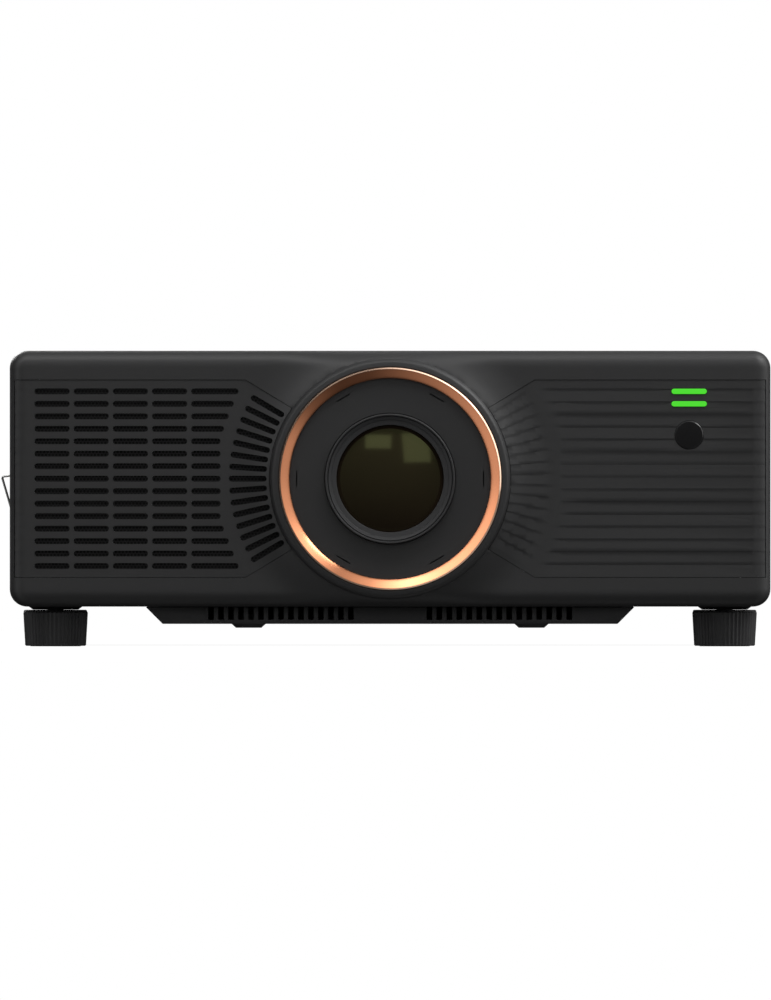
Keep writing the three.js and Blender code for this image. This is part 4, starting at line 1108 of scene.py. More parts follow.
@dataclass
class Feet:
    """The four screw feet: ribbed knobs with their studs, and rubber soles."""

    ribs: int = 48
    rib_depth: float = 0.0006
    stud_radius: float = 0.0031
    collar_radius: float = 0.00545
    neck: float = 0.001
    taper: float = 0.00115
    top_gap: float = 0.0033
    edge: float = 0.0007

    def build(self) -> None:
        """Builds one knob and one sole and copies them to the four corners."""
        low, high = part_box(KNOBS[0])
        sole_low, sole_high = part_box(KNOBS[0].replace("knob", "sole"))
        first = Vector(((low.x + high.x) / 2, (low.y + high.y) / 2, 0))
        patterns = (self.knob(low, high, sole_high, first), self.sole(sole_low, sole_high, first))
        for name in KNOBS:
            low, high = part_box(name)
            move = Matrix.Translation(Vector(((low.x + high.x) / 2, (low.y + high.y) / 2, 0)) - first)
            sole_name = name.replace("knob", "sole")
            knob = copied(patterns[0], move, f"ribbed_{name[5:]}")
            place_on(knob, SOFT, name, [name], 20)
            sole = copied(patterns[1], move, f"rubber_{sole_name[5:]}")
            place_on(sole, RUBBER, sole_name, [sole_name])
        for pattern in patterns:
            bpy.data.objects.remove(pattern)

    def knob(self, low: Vector, high: Vector, sole_top: Vector, centre: Vector) -> Piece:
        """A ribbed knob with its collar and stud.

        Args:
            low: the lowest corner of the knob's box.
            high: the highest corner.
            sole_top: the highest corner of the sole's box.
            centre: the middle of the foot.

        Returns:
            The knob.
        """
        radius = (high.x - low.x) / 2
        foot, top, edge = radius - self.taper, DATUM.floor - self.top_gap, self.edge
        recess, hole = sole_top.z + GAP, (sole_top.x - centre.x) + GAP
        profile = [
            (0, recess), (hole, recess), (hole, low.z), (foot - edge, low.z), (foot, low.z + edge),
            (radius, top - edge), (radius - edge, top), (self.collar_radius, top),
            (self.collar_radius, top + self.neck),
            (self.stud_radius, top + self.neck), (self.stud_radius, high.z), (0, high.z),
        ]
        piece = turned("knob", profile, centre, Axis.Z, self.ribs * 2)

        def rib(point: Vector) -> Vector:
            """A point of the rim moved in where a furrow runs."""
            out = Vector((point.x - centre.x, point.y - centre.y, 0))
            turn = round(math.atan2(out.y, out.x) / (math.pi / self.ribs))
            if out.length < foot - edge * 1.5 or turn % 2 == 0:
                return point
            return point - out.normalized() * self.rib_depth

        return reshape(piece, rib)

    def sole(self, low: Vector, high: Vector, centre: Vector) -> Piece:
        """A rubber sole with a rounded rim and a shallow ring in its face.

        Args:
            low: the lowest corner of its box.
            high: the highest corner.
            centre: the middle of the foot.

        Returns:
            The sole.
        """
        radius = (high.x - low.x) / 2
        profile = [
            (0, low.z), (radius * 0.6, low.z), (radius * 0.62, low.z + 0.0005),
            (radius * 0.68, low.z + 0.0005),
            (radius * 0.7, low.z), (radius - 0.0006, low.z), (radius, low.z + 0.0006), (radius, high.z),
            (0, high.z),
        ]
        return turned("sole", profile, centre, Axis.Z, 64)


# ---- Lens ----


@dataclass
class Lens:
    """The trim ring, baffle, barrel, retaining ring and front glass, with the drives behind them."""

    ring_inner: float = 0.066
    chamfer: float = 0.0009
    seat_radius: float = 0.0412
    glass_radius: float = 0.0352
    curve: float = 0.120
    slits: int = 6
    slit_radius: float = 0.0614
    slit_length: float = 0.0105
    slit_width: float = 0.0007
    inner_drop: float = 0.0040
    bore_radius: float = 0.037
    seat_depth: float = 0.0165
    collar: float = 0.0033
    collar_near: float = -0.0029
    collar_far: float = 0.0008
    seal_over: float = 0.0035
    seal_under: float = 0.0045
    seal_depth: float = 0.001

    def build_ring(self) -> None:
        """Builds the copper-coloured trim ring."""
        low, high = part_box("lens_trim_ring")
        outer, face, rear = high.x, low.y - DATUM.front, high.y - DATUM.front
        inner = self.ring_inner
        edge = outer - self.chamfer
        profile = [
            (inner, rear), (edge, rear), (edge, face), (edge - 0.0004, face + 0.0002),
            (inner + 0.0004, face + self.inner_drop - 0.0004),
            (inner, face + self.inner_drop),
        ]
        bevel = [(edge, face), (outer, face + self.chamfer), (outer, rear), (edge, rear)]
        place_on(turned("cut_edge_ring", bevel, LENS_AXIS, steps=180), CUT_EDGE, "lens_trim_ring")
        place_on(
            turned("copper_trim_ring", profile, LENS_AXIS, steps=180), COPPER, "lens_trim_ring",
            ["lens_trim_ring"], 24
        )

    def build_baffle(self) -> None:
        """Builds the flat black ring round the barrel, with its thin slits."""
        low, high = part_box("lens_baffle")
        near, far, outer = low.y - DATUM.front, high.y - DATUM.front, high.x
        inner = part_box("lens_retaining_ring")[1].x + 0.0021
        profile = [(inner, near + 0.0003), (inner + 0.0003, near), (outer, near), (outer, far), (inner, far)]
        baffle = turned("baffle", profile, LENS_AXIS, steps=160)
        half, reach = self.slit_width / 2, self.slit_length / 2
        slit = block(
            "slit", (self.slit_radius - half, low.y - 0.001, DATUM.middle - reach),
            (self.slit_radius + half, high.y + 0.001, DATUM.middle + reach),
        )
        turns = [turned_about(LENS_AXIS, i * 360 / self.slits, Axis.Y) for i in range(self.slits)]
        shape_with(baffle, repeated("slits", slit, turns), Cut.AWAY)
        place_on(baffle, CASE, "lens_baffle", ["lens_baffle"])

    def build_seal(self) -> None:
        """Builds a near-black foam ring behind the baffle that keeps stray light in the case; its dark colour
        is painted shade behind the gaps round the baffle.
        """
        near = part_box("lens_baffle")[1].y - DATUM.front + GAP * 2
        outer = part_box("lens_trim_ring")[1].x + self.seal_over
        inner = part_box("lens_baffle")[1].x - self.seal_under
        profile = [
            (inner, near), (outer, near), (outer, near + self.seal_depth), (inner, near + self.seal_depth)
        ]
        # The ring's near-black colour is painted shade that keeps the gaps round the baffle dark.
        place_on(turned("light_seal", profile, LENS_AXIS, steps=96), SHADE_FOAM, "front_bezel")

    def build_barrel(self) -> None:
        """Builds the barrel and the ring that holds the glass in it."""
        low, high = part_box("lens_barrel")
        near, far = low.y - DATUM.front, high.y - DATUM.front
        shoulder, seat, bore = high.x, self.seat_radius, self.bore_radius
        radius, step = shoulder - self.collar, near + self.seat_depth
        profile = [
            (seat, near + 0.0004), (seat + 0.0003, near + 0.0001), (radius - 0.0006, near),
            (radius - 0.0001, near + 0.0003),
            (radius, near + 0.0008), (radius, self.collar_near), (shoulder, self.collar_near),
            (shoulder, self.collar_far), (radius, self.collar_far),
            (radius, far), (bore, far), (bore, step), (seat, step),
        ]
        place_on(turned("barrel", profile, LENS_AXIS, steps=160), SOFT, "lens_barrel", ["lens_barrel"])
        low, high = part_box("lens_retaining_ring")
        near, far, outer, inner = low.y - DATUM.front, high.y - DATUM.front, high.x, self.glass_radius
        profile = [
            (outer, far), (inner, far), (inner, near + 0.0021), (inner + 0.0003, near + 0.0017),
            (outer - 0.0024, near + 0.0012), (outer - 0.0021, near + 0.0007), (outer - 0.0004, near),
            (outer, near + 0.0003),
        ]
        place_on(
            turned("retaining_ring", profile, LENS_AXIS, steps=160), SOFT, "lens_retaining_ring",
            ["lens_retaining_ring"]
        )

    def build_glass(self) -> None:
        """Builds the domed front glass."""
        low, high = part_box("front_lens")
        near, far, edge = low.y - DATUM.front, high.y - DATUM.front, high.x
        steps = 24
        radii = [edge * i / steps for i in range(steps + 1)]
        profile = [(r, near + self.curve - math.sqrt(self.curve**2 - r**2)) for r in radii]
        place_on(
            turned("front_glass", [*profile, (edge, far), (0, far)], LENS_AXIS, steps=128), GLASS,
            "front_lens", ["front_lens"], 60
        )

    def build(self) -> None:
        """Builds every piece of the lens."""
        self.build_ring()
        self.build_baffle()
        self.build_seal()
        self.build_barrel()
        self.build_glass()


# ---- Rear ----


class Port(Enum):
    """The kinds of socket on the rear panel."""

    VIDEO = "hdmi"
    BUS = "usb"
    NETWORK = "lan"
    SERIAL = "serial"


@dataclass
class Rear:
    """The rear panel, its sockets, keypad, screws and the fans behind its slots."""

    slot_rows: int = 12
    slot_pitch: float = 0.0088
    slot_height: float = 0.0038
    slot_length: float = 0.104
    button_radius: float = 0.0045
    ports: tuple[str, ...] = ("hdmi_port_1", "hdmi_port_2", "usb_port", "lan_port", "serial_port")
    buttons: tuple[str, ...] = (
        "power_button", "source_button", "menu_button", "ok_button", "up_button", "down_button",
        "left_button", "right_button",
    )
    fans: tuple[str, ...] = ("exhaust_fan_1", "exhaust_fan_2")
    shell_wall: float = 0.0007
    pin_radius: float = 0.0005
    pin_length: float = 0.0066
    pin_pitch: float = 0.00277
    pin_rise: float = 0.00142
    contacts: int = 8
    contact_pitch: float = 0.00102
    stroke: float = 0.0004
    screw_inset: float = 0.007
    middle_screw: float = 0.125
    blades: int = 7
    tip_radius: float = 0.0545
    hub_radius: float = 0.019
    blade_sheet: float = 0.0014

    def build_panel(self) -> None:
        """Builds the panel with its slots and holes."""
        low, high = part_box("rear_panel")
        panel = soften(block("rear_plate", low, high), 0.0004, 2)
        through = (low.y - 0.002, high.y - low.y + 0.004)
        for name in self.fans:
            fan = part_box(f"{name}_frame")
            x = (fan[0].x + fan[1].x) / 2
            half = self.slot_length / 2
            slot = prism(
                "slot", capsule(x - half, x + half, self.slot_height, (0, through[0], DATUM.middle)),
                (0, through[1], 0)
            )
            rows = [
                shifted(z=(i - (self.slot_rows - 1) / 2) * self.slot_pitch) for i in range(self.slot_rows)
            ]
            shape_with(panel, repeated("slots", slot, rows), Cut.AWAY)
        for name in self.ports:
            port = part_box(name)
            low_corner = (port[0].x - GAP, through[0], port[0].z - GAP)
            high_corner = (port[1].x + GAP, through[0] + through[1], port[1].z + GAP)
            shape_with(panel, block("hole", low_corner, high_corner), Cut.AWAY)
        for name in self.buttons:
            x, z = self.middle_of(name)
            radius = self.button_radius + GAP
            profile = [(0, through[0]), (radius, through[0]), (radius, sum(through)), (0, sum(through))]
            shape_with(panel, turned("hole", profile, (x, 0, z), steps=40), Cut.AWAY)
        place_on(panel, SHEET, "rear_panel", ["rear_panel"])

    def middle_of(self, node: str) -> tuple[float, float]:
        """The middle of a node seen from the rear, as its X and Z."""
        low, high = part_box(node)
        return (low.x + high.x) / 2, (low.z + high.z) / 2

    def build_ports(self) -> None:
        """Builds each socket's shell with what shows inside it."""
        for name in self.ports:
            low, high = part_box(name)
            kind = Port(name.split("_")[0])
            wall, chamfer = self.shell_wall, {Port.VIDEO: 0.0018, Port.SERIAL: 0.0025}.get(kind, 0.0)
            shell = soften(block(f"{name}_shell", low, high), 0.0002, 1)
            x = (low.x + wall, high.x - wall)
            z = (low.z + wall, high.z - wall)
            outline = [
                (x[0] + chamfer, z[0]), (x[1] - chamfer, z[0]), (x[1], z[0] + chamfer + TINY), (x[1], z[1]),
                (x[0], z[1]),
                (x[0], z[0] + chamfer + TINY),
            ]
            floor = low.y + 0.002
            mouth = prism("mouth", [(a, floor, b) for a, b in outline], (0, high.y - floor + 0.001, 0))
            shape_with(shell, mouth, Cut.AWAY)
            place_on(shell, STEEL, name, [name])
            place_on(self.insert(name, kind, low, high, floor), SOFT, name)

    def insert(self, name: str, kind: Port, low: Vector, high: Vector, floor: float) -> Piece:
        """What shows inside a socket.

        Args:
            name: the socket's node.
            kind: its kind.
            low: its lowest corner.
            high: its highest corner.
            floor: where its inner end lies along Y.

        Returns:
            The tongue, or the row of contacts.
        """
        middle = (low + high) / 2
        start = floor + 0.00005
        if kind is Port.SERIAL:
            radius, tip = self.pin_radius, self.pin_length
            profile = [(0, 0), (radius, 0), (radius, tip - 0.0006), (radius - 0.0002, tip), (0, tip)]
            pin = turned("pin", profile, (middle.x, start, middle.z), steps=12)
            top = [shifted((i - 2) * self.pin_pitch, 0, self.pin_rise) for i in range(5)]
            bottom = [shifted((i - 1.5) * self.pin_pitch, 0, -self.pin_rise) for i in range(4)]
            return repeated(f"{name}_pins", pin, top + bottom)
        if kind is Port.NETWORK:
            contact = block(
                "contact", (middle.x - 0.0003, start, high.z - 0.004),
                (middle.x + 0.0003, high.y - 0.004, high.z - 0.0035)
            )
            places = [
                shifted((i - (self.contacts - 1) / 2) * self.contact_pitch) for i in range(self.contacts)
            ]
            return repeated(f"{name}_contacts", soften(contact, 0.0001, 1), places)
        half, thick = (high.x - low.x) / 2 - 0.0022, 0.0009 if kind is Port.BUS else 0.0006
        tongue = block(
            f"{name}_tongue", (middle.x - half, start, middle.z - thick),
            (middle.x + half, high.y - 0.002, middle.z + thick)
        )
        return soften(tongue, 0.0002, 2)

    def build_keypad(self) -> None:
        """Builds the buttons and the marks printed on them."""
        for name in self.buttons:
            low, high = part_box(name)
            x, z = self.middle_of(name)
            radius, flange = self.button_radius, (high.x - low.x) / 2
            profile = [
                (0, high.y - 0.0002), (radius * 0.5, high.y - 0.00015), (radius - 0.0006, high.y),
                (radius - 0.0001, high.y - 0.0003),
                (radius, high.y - 0.0007), (radius, low.y + 0.001), (flange, low.y + 0.001), (flange, low.y),
                (0, low.y),
            ]
            place_on(turned(f"{name}_cap", profile, (x, 0, z), steps=40), SOFT, name, [name])
            place_on(self.mark(name, x, high.y - 0.00018, z), INK, name)

    def mark(self, name: str, x: float, y: float, z: float) -> Piece:
        """A small raised print on a button: a triangle that points its way, or a plain sign.

        Args:
            name: the button's node.
            x: its middle.
            y: its face.
            z: its middle.

        Returns:
            The print.
        """
        thick, blunt, line = 0.00012, 0.00004, self.stroke / 2
        turn = {"up_button": 90, "left_button": 0, "down_button": -90, "right_button": 180}.get(name)
        label = f"{name}_print"
        if turn is not None:
            angles = [math.radians(turn + a) for a in (0, 120, 240)]
            outline = [(x + 0.0018 * math.cos(a), y, z + 0.0018 * math.sin(a)) for a in angles]
            return prism(label, outline, (0, thick, 0))
        if name == "menu_button":
            bar = soften(block("bar", (x - 0.0016, y, z - line), (x + 0.0016, y + thick, z + line)), blunt, 1)
            return repeated(label, bar, [shifted(z=i * 0.0011) for i in (-1, 0, 1)])
        ring = turned(
            "ring", [(0.0014, 0), (0.0018, 0), (0.0018, thick), (0.0014, thick)], (x, y, z), steps=36
        )
        if name == "power_button":
            bar = soften(block("bar", (x - line, y, z + 0.0004), (x + line, y + thick, z + 0.0024)), blunt, 1)
            return joined(label, [ring, bar])
        if name == "source_button":
            bar = soften(block("bar", (x - 0.0008, y, z - line), (x + 0.0008, y + thick, z + line)), blunt, 1)
            return joined(label, [ring, bar])
        ring.name = label
        return ring

    def build_screws(self) -> None:
        """Builds the screws that hold the panel, with crossed recesses."""
        low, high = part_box("rear_panel")
        profile = [
            (0, 0.0013), (0.0014, 0.0012), (0.0024, 0.0007), (0.0028, 0.0), (0.0028, -0.0005), (0, -0.0005)
        ]
        screw = turned("screw", profile, (0, high.y - 0.0001, 0), steps=32)
        for size in ((0.0017, 0.0003), (0.0003, 0.0017)):
            shape_with(
                screw,
                block("cross", (-size[0], high.y + 0.0003, -size[1]), (size[0], high.y + 0.004, size[1])),
                Cut.AWAY
            )
        inset = self.screw_inset
        columns = (low.x + inset, low.x + self.middle_screw, high.x - inset)
        places = [shifted(x, 0, z) for x in columns for z in (low.z + inset, high.z - inset)]
        place_on(repeated("panel_screws", screw, places), STEEL, "rear_panel")

    def build_fans(self) -> None:
        """Builds the rotors with swept blades; their frames keep their own shape."""
        for name in (*self.fans, "intake_fan"):
            node = f"{name}_rotor"
            low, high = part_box(node)
            centre = (low + high) / 2
            reach, hub, half = self.tip_radius, self.hub_radius, (high.y - low.y) / 2 - GAP
            profile = [(0, -half), (hub - 0.002, -half), (hub, -half + 0.002), (hub, half), (0, half)]
            rotor = turned("hub", profile, centre, steps=48)
            bpy.ops.mesh.primitive_grid_add(x_subdivisions=10, y_subdivisions=6, size=1)
            blade = bpy.context.active_object

            def sweep(point: Vector, centre: Vector = centre) -> Vector:
                """A point of a flat sheet bent to a fan blade."""
                share = point.x + 0.5
                radius = hub - 0.001 + (reach - hub) * share
                chord = point.y
                angle = 0.45 * share + chord * (0.75 - 0.1 * share)
                rise = chord * (1.5 - 0.5 * share) * half * 0.62 + 0.001 * math.cos(math.pi * chord)
                return centre + Vector((radius * math.cos(angle), rise, radius * math.sin(angle)))

            reshape(blade, sweep)
            thick = blade.modifiers.new("thickness", "SOLIDIFY")
            thick.thickness, thick.offset = self.blade_sheet, 0
            activate(blade)
            bpy.ops.object.modifier_apply(modifier=thick.name)
            turns = [turned_about(centre, i * 360 / self.blades, Axis.Y) for i in range(self.blades)]
            blades = repeated("blades", blade, turns)
            place_on(joined(f"{name}_impeller", [rotor, blades]), SOFT, node, [node], 40)

    def build(self) -> None:
        """Builds every piece of the rear."""
        self.build_panel()
        self.build_ports()
        self.build_keypad()
        self.build_screws()
        self.build_fans()


# ---- Mains inlet ----


@dataclass
class Inlet:
    """The mains inlet on the left side, its rocker switch and the wire that holds the plug."""

    socket_length: float = 0.0245
    socket_height: float = 0.0166
    socket_depth: float = 0.017
    socket_offset: float = -0.014
    rocker_length: float = 0.019
    rocker_height: float = 0.013
    rocker_offset: float = 0.019
    well_depth: float = 0.009
    wire: float = 0.0012
    tilt: float = 7.0
    pivot_depth: float = 0.004
    pins: tuple[tuple[float, float], ...] = ((-0.007, -0.002), (0.007, -0.002), (0, 0.003))
    knee_rise: float = 0.0260
    hook: float = 0.002
    bend: float = 0.0012

    def build_block(self) -> None:
        """Builds the inlet's block with its socket, well and three pins."""
        low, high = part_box("ac_inlet")
        middle = (low + high) / 2
        body = soften(block("inlet_block", low, high), 0.0006, 2)
        centre_y = middle.y + self.socket_offset
        half_y, half_z, cut = self.socket_length / 2, self.socket_height / 2, 0.004
        outline = [
            (-half_y, -half_z), (half_y, -half_z), (half_y, half_z - cut), (half_y - cut, half_z),
            (-half_y + cut, half_z),
            (-half_y, half_z - cut),
        ]
        near = low.x - 0.001
        points = [(near, centre_y + y, middle.z + z) for y, z in outline]
        shape_with(body, prism("socket", points, (self.socket_depth + 0.001, 0, 0)), Cut.AWAY)
        y, half = middle.y + self.rocker_offset, (
            self.rocker_length / 2 + 0.0008, self.rocker_height / 2 + 0.0005
        )
        well = block(
            "well", (near, y - half[0], middle.z - half[1]),
            (low.x + self.well_depth, y + half[0], middle.z + half[1])
        )
        shape_with(body, well, Cut.AWAY)
        place_on(body, SOFT, "ac_inlet", ["ac_inlet"])
        deep = low.x + self.socket_depth - 0.0001
        pin = soften(
            block(
                "pin", (low.x + 0.003, centre_y - 0.001, middle.z - 0.002),
                (deep, centre_y + 0.001, middle.z + 0.002)
            ), 0.0004
        )
        pins = repeated("inlet_pins", pin, [shifted(0, y, z) for y, z in self.pins])
        place_on(pins, STEEL, "ac_inlet")

    def build_rocker(self) -> None:
        """Builds the rocker with its two marks."""
        low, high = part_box("power_switch")
        near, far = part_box("ac_inlet")
        middle = (near.y + far.y) / 2
        pivot = Vector((near.x + self.pivot_depth, middle + self.rocker_offset, (low.z + high.z) / 2))
        half, height = self.rocker_length / 2, (high.z - low.z) / 2
        rise = half * math.tan(math.radians(self.tilt))
        outline = [
            (-0.003 - rise, -half), (-0.0031, -0.003), (-0.003, 0), (-0.0031, 0.003), (-0.003 - rise, half),
            (0.0015, half * 0.55), (0.0025, 0), (0.0015, -half * 0.55),
        ]
        points = [pivot + Vector((x, y, -height)) for x, y in outline]
        rocker = soften(prism("rocker", points, (0, 0, 2 * height)), 0.0005, 2, 30)
        face = -0.0032 - rise * 0.6
        corners = (Vector((face, -0.0062, -0.0018)), Vector((face + 0.0004, -0.0058, 0.0018)))
        dash = soften(block("dash", *(pivot + corner for corner in corners)), 0.0001, 1)
        profile = [(0.0013, 0), (0.0017, 0), (0.0017, 0.0004), (0.0013, 0.0004)]
        ring = turned("ring", profile, pivot + Vector((face, 0.006, 0)), Axis.X, 32)
        turn = turned_about(pivot, self.tilt, Axis.Z)
        for piece, finish, nodes in (
            (rocker, CASE, ["power_switch"]), (joined("rocker_marks", [dash, ring]), INK, [])
        ):
            piece.data.transform(turn)
            place_on(piece, finish, "power_switch", nodes)

    def build_clip(self) -> None:
        """Builds the bent wire that holds the plug."""
        low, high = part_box("plug_clip")
        x, z, radius = high.x - self.wire / 2, low.z + self.wire / 2, self.wire / 2
        centre, half = (low.y + high.y) / 2, (high.y - low.y) / 2 - radius
        knee, rise = (low.x + radius, z + self.knee_rise), high.z - radius
        bends = [
            (x, centre - half + self.hook, z), (x, centre - half, z), (knee[0], centre - half, knee[1]),
            (x, centre - half, rise),
            (x, centre + half, rise), (knee[0], centre + half, knee[1]), (x, centre + half, z),
            (x, centre + half - self.hook, z),
        ]
        bpy.ops.mesh.primitive_circle_add(vertices=len(bends), radius=1, fill_type="NOTHING")
        wire = bpy.context.active_object
        wire.name = "plug_clip_wire"
        for vertex, point in zip(wire.data.vertices, bends):
            vertex.co = point
        with editing(wire, "EDGE"):
            pick_edges(
                wire, lambda a, b: abs(abs(a.y - b.y) - 2 * (half - self.hook)) < TINY and abs(a.z - z) < TINY
            )
            bpy.ops.mesh.delete(type="EDGE")
            bpy.ops.mesh.select_all(action="SELECT")
            bpy.ops.mesh.bevel(offset=self.bend, segments=5, affect="VERTICES")
        activate(wire)
        bpy.ops.object.convert(target="CURVE")
        wire.data.bevel_depth, wire.data.bevel_resolution, wire.data.use_fill_caps = radius, 3, True
        bpy.ops.object.convert(target="MESH")
        wire = bpy.context.active_object
        tidy(wire)
        place_on(wire, STEEL, "plug_clip", ["plug_clip"], 40)

    def build(self) -> None:
        """Builds every piece of the inlet."""
        self.build_block()
        self.build_rocker()
        self.build_clip()


@dataclass
class Inside:
    """The pieces that keep the frame's own shape: drives, light engine, boards and fan frames."""

    finishes: tuple[tuple[Finish, tuple[str, ...]], ...] = (
        (SHEET, ("lens_mount_plate", "lens_holder", "focus_motor", "phosphor_motor", "engine_housing")),
        (ALUMINIUM, ("shift_carriage", "focus_pinion", "laser_module", "laser_heatsink", "power_supply")),
        (SOFT, ("focus_gear", "intake_fan_frame", "exhaust_fan_1_frame", "exhaust_fan_2_frame")),
        (STEEL, ("phosphor_wheel",)),
        (BOARD, ("main_board", "imager_board")),
    )

    def build(self) -> None:
        """Gives each of them its finish."""
        for finish, names in self.finishes:
            for name in names:
                node = frame["nodes"][name]
                node.data.materials.clear()
                node.data.materials.append(finish.material())
                LOG.info("%s: %s", name, finish.name)


# ---- Studio ----


@dataclass(frozen=True)
class Softbox:
    """A soft rectangular light."""

    name: str
    place: Point
    aim: Point
    width: float
    height: float
    power: float
    diffuse: bool = True
    glossy: bool = True

    def build(self) -> None:
        """Adds the light, turned to its aim."""
        lamp = bpy.data.lights.new(self.name, "AREA")
        lamp.shape, lamp.size, lamp.size_y, lamp.energy = "RECTANGLE", self.width, self.height, self.power
        holder = bpy.data.objects.new(self.name, lamp)
        holder.visible_diffuse, holder.visible_glossy = self.diffuse, self.glossy
        holder.location = self.place
        holder.rotation_euler = (Vector(self.aim) - Vector(self.place)).to_track_quat("-Z", "Y").to_euler()
        bpy.context.scene.collection.objects.link(holder)


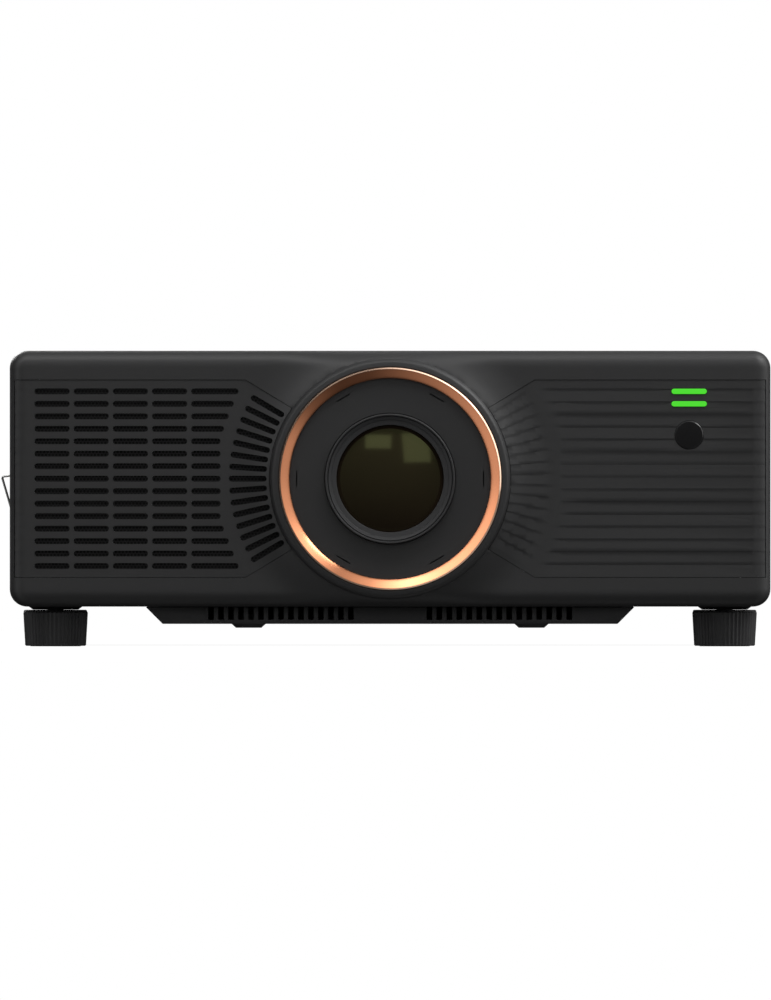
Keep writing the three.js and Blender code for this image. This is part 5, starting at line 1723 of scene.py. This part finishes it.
@dataclass(frozen=True)
class ReflectorRing:
    """A ring of soft panels round the lens axis, seen only in reflections, with levels set all round."""

    name: str
    inner: Point
    outer: Point
    levels: tuple[float, ...]

    def build(self) -> None:
        """Adds the ring; the first level is to the right and the others follow anticlockwise."""
        thick = 0.01
        profile = [
            self.inner, self.outer, (self.outer[0] + thick, self.outer[1]),
            (self.inner[0] + thick, self.inner[1])
        ]
        ring = turned(self.name, profile, LENS_AXIS, steps=72)
        for ray in ("camera", "diffuse", "shadow", "transmission", "volume_scatter"):
            setattr(ring, f"visible_{ray}", False)
        material, place = bare_material(self.name)
        tree = material.node_tree
        centred = add_node(
            tree, "ShaderNodeVectorMath", {"operation": "SUBTRACT"}, {1: LENS_AXIS}, {0: place}
        )
        parts = add_node(tree, "ShaderNodeSeparateXYZ", {}, {}, {0: centred.outputs[0]})
        angle = add_node(
            tree, "ShaderNodeMath", {"operation": "ARCTAN2"}, {}, {0: parts.outputs[2], 1: parts.outputs[0]}
        )
        share = add_node(
            tree, "ShaderNodeMapRange", {}, {"From Min": -math.pi, "From Max": math.pi},
            {"Value": angle.outputs[0]}
        )
        ramp = add_node(tree, "ShaderNodeValToRGB", {}, {}, {0: share.outputs["Result"]})
        count, most = len(self.levels), max(self.levels)
        half = count // 2
        levels = [self.levels[(i + half) % count] / most for i in range(count + 1)]
        stops = ramp.color_ramp.elements
        for i, level in enumerate(levels):
            stop = stops[0] if i == 0 else stops[-1] if i == count else stops.new(i / count)
            stop.color = (level, level, level, 1)
        glow = add_node(tree, "ShaderNodeEmission", {}, {"Strength": most}, {"Color": ramp.outputs[0]})
        add_node(tree, "ShaderNodeOutputMaterial", {}, {}, {0: glow.outputs[0]})
        ring.data.materials.append(material)
        ring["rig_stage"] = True


@dataclass
class Studio:
    """The floor, the lights and the camera."""

    focal: float = 1300.0
    sensor: float = 36.0
    frame_height: float = 0.657  # metres seen from top to bottom at the front of the case
    right: float = -0.00302
    below: float = 0.0140
    floor_radius: float = 2.4
    floor_tone: float = 0.12
    floor_glow: float = 0.95
    dome_radius: float = 6.0
    dome_low: float = 0.03
    dome_high: float = 0.3
    boxes: tuple[Softbox, ...] = (
        Softbox("overhead", (0.35, -0.2, 1.9), (0, 0, 0.1), 1.8, 1.5, 5, glossy=False),
        Softbox("key", (0.5, -1.5, 2.3), (0, -0.1, 0.1), 1.2, 0.8, 24, glossy=False),
        Softbox("corner", (1.5, -0.45, 1.6), (0.1, -0.1, 0.1), 0.8, 0.8, 20),
        Softbox("front_fill", (0, -3.4, 0.2), (0, -0.2, 0.1), 2.0, 1.6, 24, glossy=False),
        Softbox("right_rim", (1.9, -0.15, 0.4), (0.2, 0, 0.1), 0.8, 1.0, 4),
        Softbox("left_fill", (-1.9, -1.1, 0.35), (0, -0.2, 0.1), 0.7, 1.0, 1, glossy=False),
        Softbox("rear_key", (-1.2, 2.6, 1.5), (0, 0.2, 0.1), 1.4, 1.2, 60),
        Softbox("window_left", (-0.42, -3.2, 1.42), (0, -0.24, 0.1), 0.93, 0.5, 1.5),
        Softbox("window_right", (0.95, -3.2, 1.22), (0, -0.24, 0.1), 1.0, 1.1, 3.2),
    )
    rings: tuple[ReflectorRing, ...] = (
        ReflectorRing(
            "front_reflectors", (1.39, -1.025), (2.29, -0.575),
            (
                0.78, 1.12, 2.6, 0.6, 1.3, 4.6, 3.0, 2.1, 1.6, 1.0, 0.93, 0.7, 0.5, 0.3, 0.105, 0.084, 0.23,
                0.68
            ),
        ),
        ReflectorRing(
            "side_reflectors", (2.0, -0.35), (2.0, 0.35),
            (
                0.3, 1.2, 3.0, 2.4, 1.6, 0.25, 0.3, 0.08, 0.05, 0.05, 0.08, 0.15, 0.15, 0.2, 0.5, 0.5, 0.4,
                0.35
            ),
        ),
    )

    def build_light(self) -> None:
        """Adds the lights, a white world for the background and a dim dome that fills the shadows."""
        for box in self.boxes:
            box.build()
        scene = bpy.context.scene
        scene.view_settings.view_transform = "Standard"
        world = bpy.data.worlds.new("white")
        scene.world = world
        world.use_nodes = True
        world.node_tree.nodes["Background"].inputs["Color"].default_value = (1, 1, 1, 1)
        world.node_tree.nodes["Background"].inputs["Strength"].default_value = 1.0
        for ray in ("diffuse", "glossy", "transmission", "scatter"):
            setattr(world.cycles_visibility, ray, False)
        bpy.ops.mesh.primitive_uv_sphere_add(segments=48, ring_count=24, radius=self.dome_radius)
        dome = bpy.context.active_object
        dome.name = "fill_dome"
        dome.visible_camera = dome.visible_shadow = False
        material, place = bare_material("fill_dome")
        tree = material.node_tree
        height = add_node(tree, "ShaderNodeSeparateXYZ", {}, {}, {0: place}).outputs[2]
        level = add_node(
            tree, "ShaderNodeMapRange", {},
            {"From Min": -3.0, "From Max": 4.0, "To Min": self.dome_low, "To Max": self.dome_high},
            {"Value": height}
        )
        glow = add_node(
            tree, "ShaderNodeEmission", {}, {"Color": (1, 1, 1, 1)}, {"Strength": level.outputs["Result"]}
        )
        add_node(tree, "ShaderNodeOutputMaterial", {}, {}, {0: glow.outputs[0]})
        dome.data.materials.append(material)
        dome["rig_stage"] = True

    def build_floor(self) -> None:
        """Adds a plain pale floor that the object stands on."""
        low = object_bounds()[0].z
        bpy.ops.mesh.primitive_circle_add(
            vertices=128, radius=self.floor_radius, fill_type="NGON", location=(0, 0, low)
        )
        floor = bpy.context.active_object
        floor.name = "floor"
        floor.visible_diffuse = floor.visible_glossy = False
        material = bpy.data.materials.new("matt_white_floor")
        material.use_nodes = True
        shader = material.node_tree.nodes["Principled BSDF"]
        shader.inputs["Base Color"].default_value = (*[self.floor_tone] * 3, 1)
        shader.inputs["Roughness"].default_value = 1.0
        shader.inputs["Specular IOR Level"].default_value = 0.0
        shader.inputs["Emission Color"].default_value = (1, 1, 1, 1)
        shader.inputs["Emission Strength"].default_value = self.floor_glow
        floor.data.materials.append(material)
        floor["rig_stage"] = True

    def build_camera(self) -> None:
        """Adds the camera, level and square to the front."""
        camera = bpy.data.cameras.new("camera")
        camera.lens, camera.sensor_width = self.focal, self.sensor
        distance = self.frame_height * self.focal / self.sensor
        camera.clip_start, camera.clip_end = 0.1, distance * 4
        holder = bpy.data.objects.new("camera", camera)
        holder.location = (self.right, DATUM.front - distance, DATUM.middle - self.below)
        holder.rotation_euler = (math.pi / 2, 0, 0)
        bpy.context.scene.collection.objects.link(holder)
        bpy.context.scene.camera = holder

    def build(self) -> None:
        """Builds the studio."""
        self.build_floor()
        self.build_light()
        for ring in self.rings:
            ring.build()
        self.build_camera()


def main() -> None:
    """Builds the object and the studio round it."""
    logging.basicConfig(level=logging.INFO, format="%(name)s %(message)s")
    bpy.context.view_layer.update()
    for part in (Front(), Case(), Feet(), Lens(), Rear(), Inlet(), Inside()):
        part.build()
        LOG.info("built %s", type(part).__name__)
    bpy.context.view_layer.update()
    Studio().build()


if __name__ == "__main__":
    main()
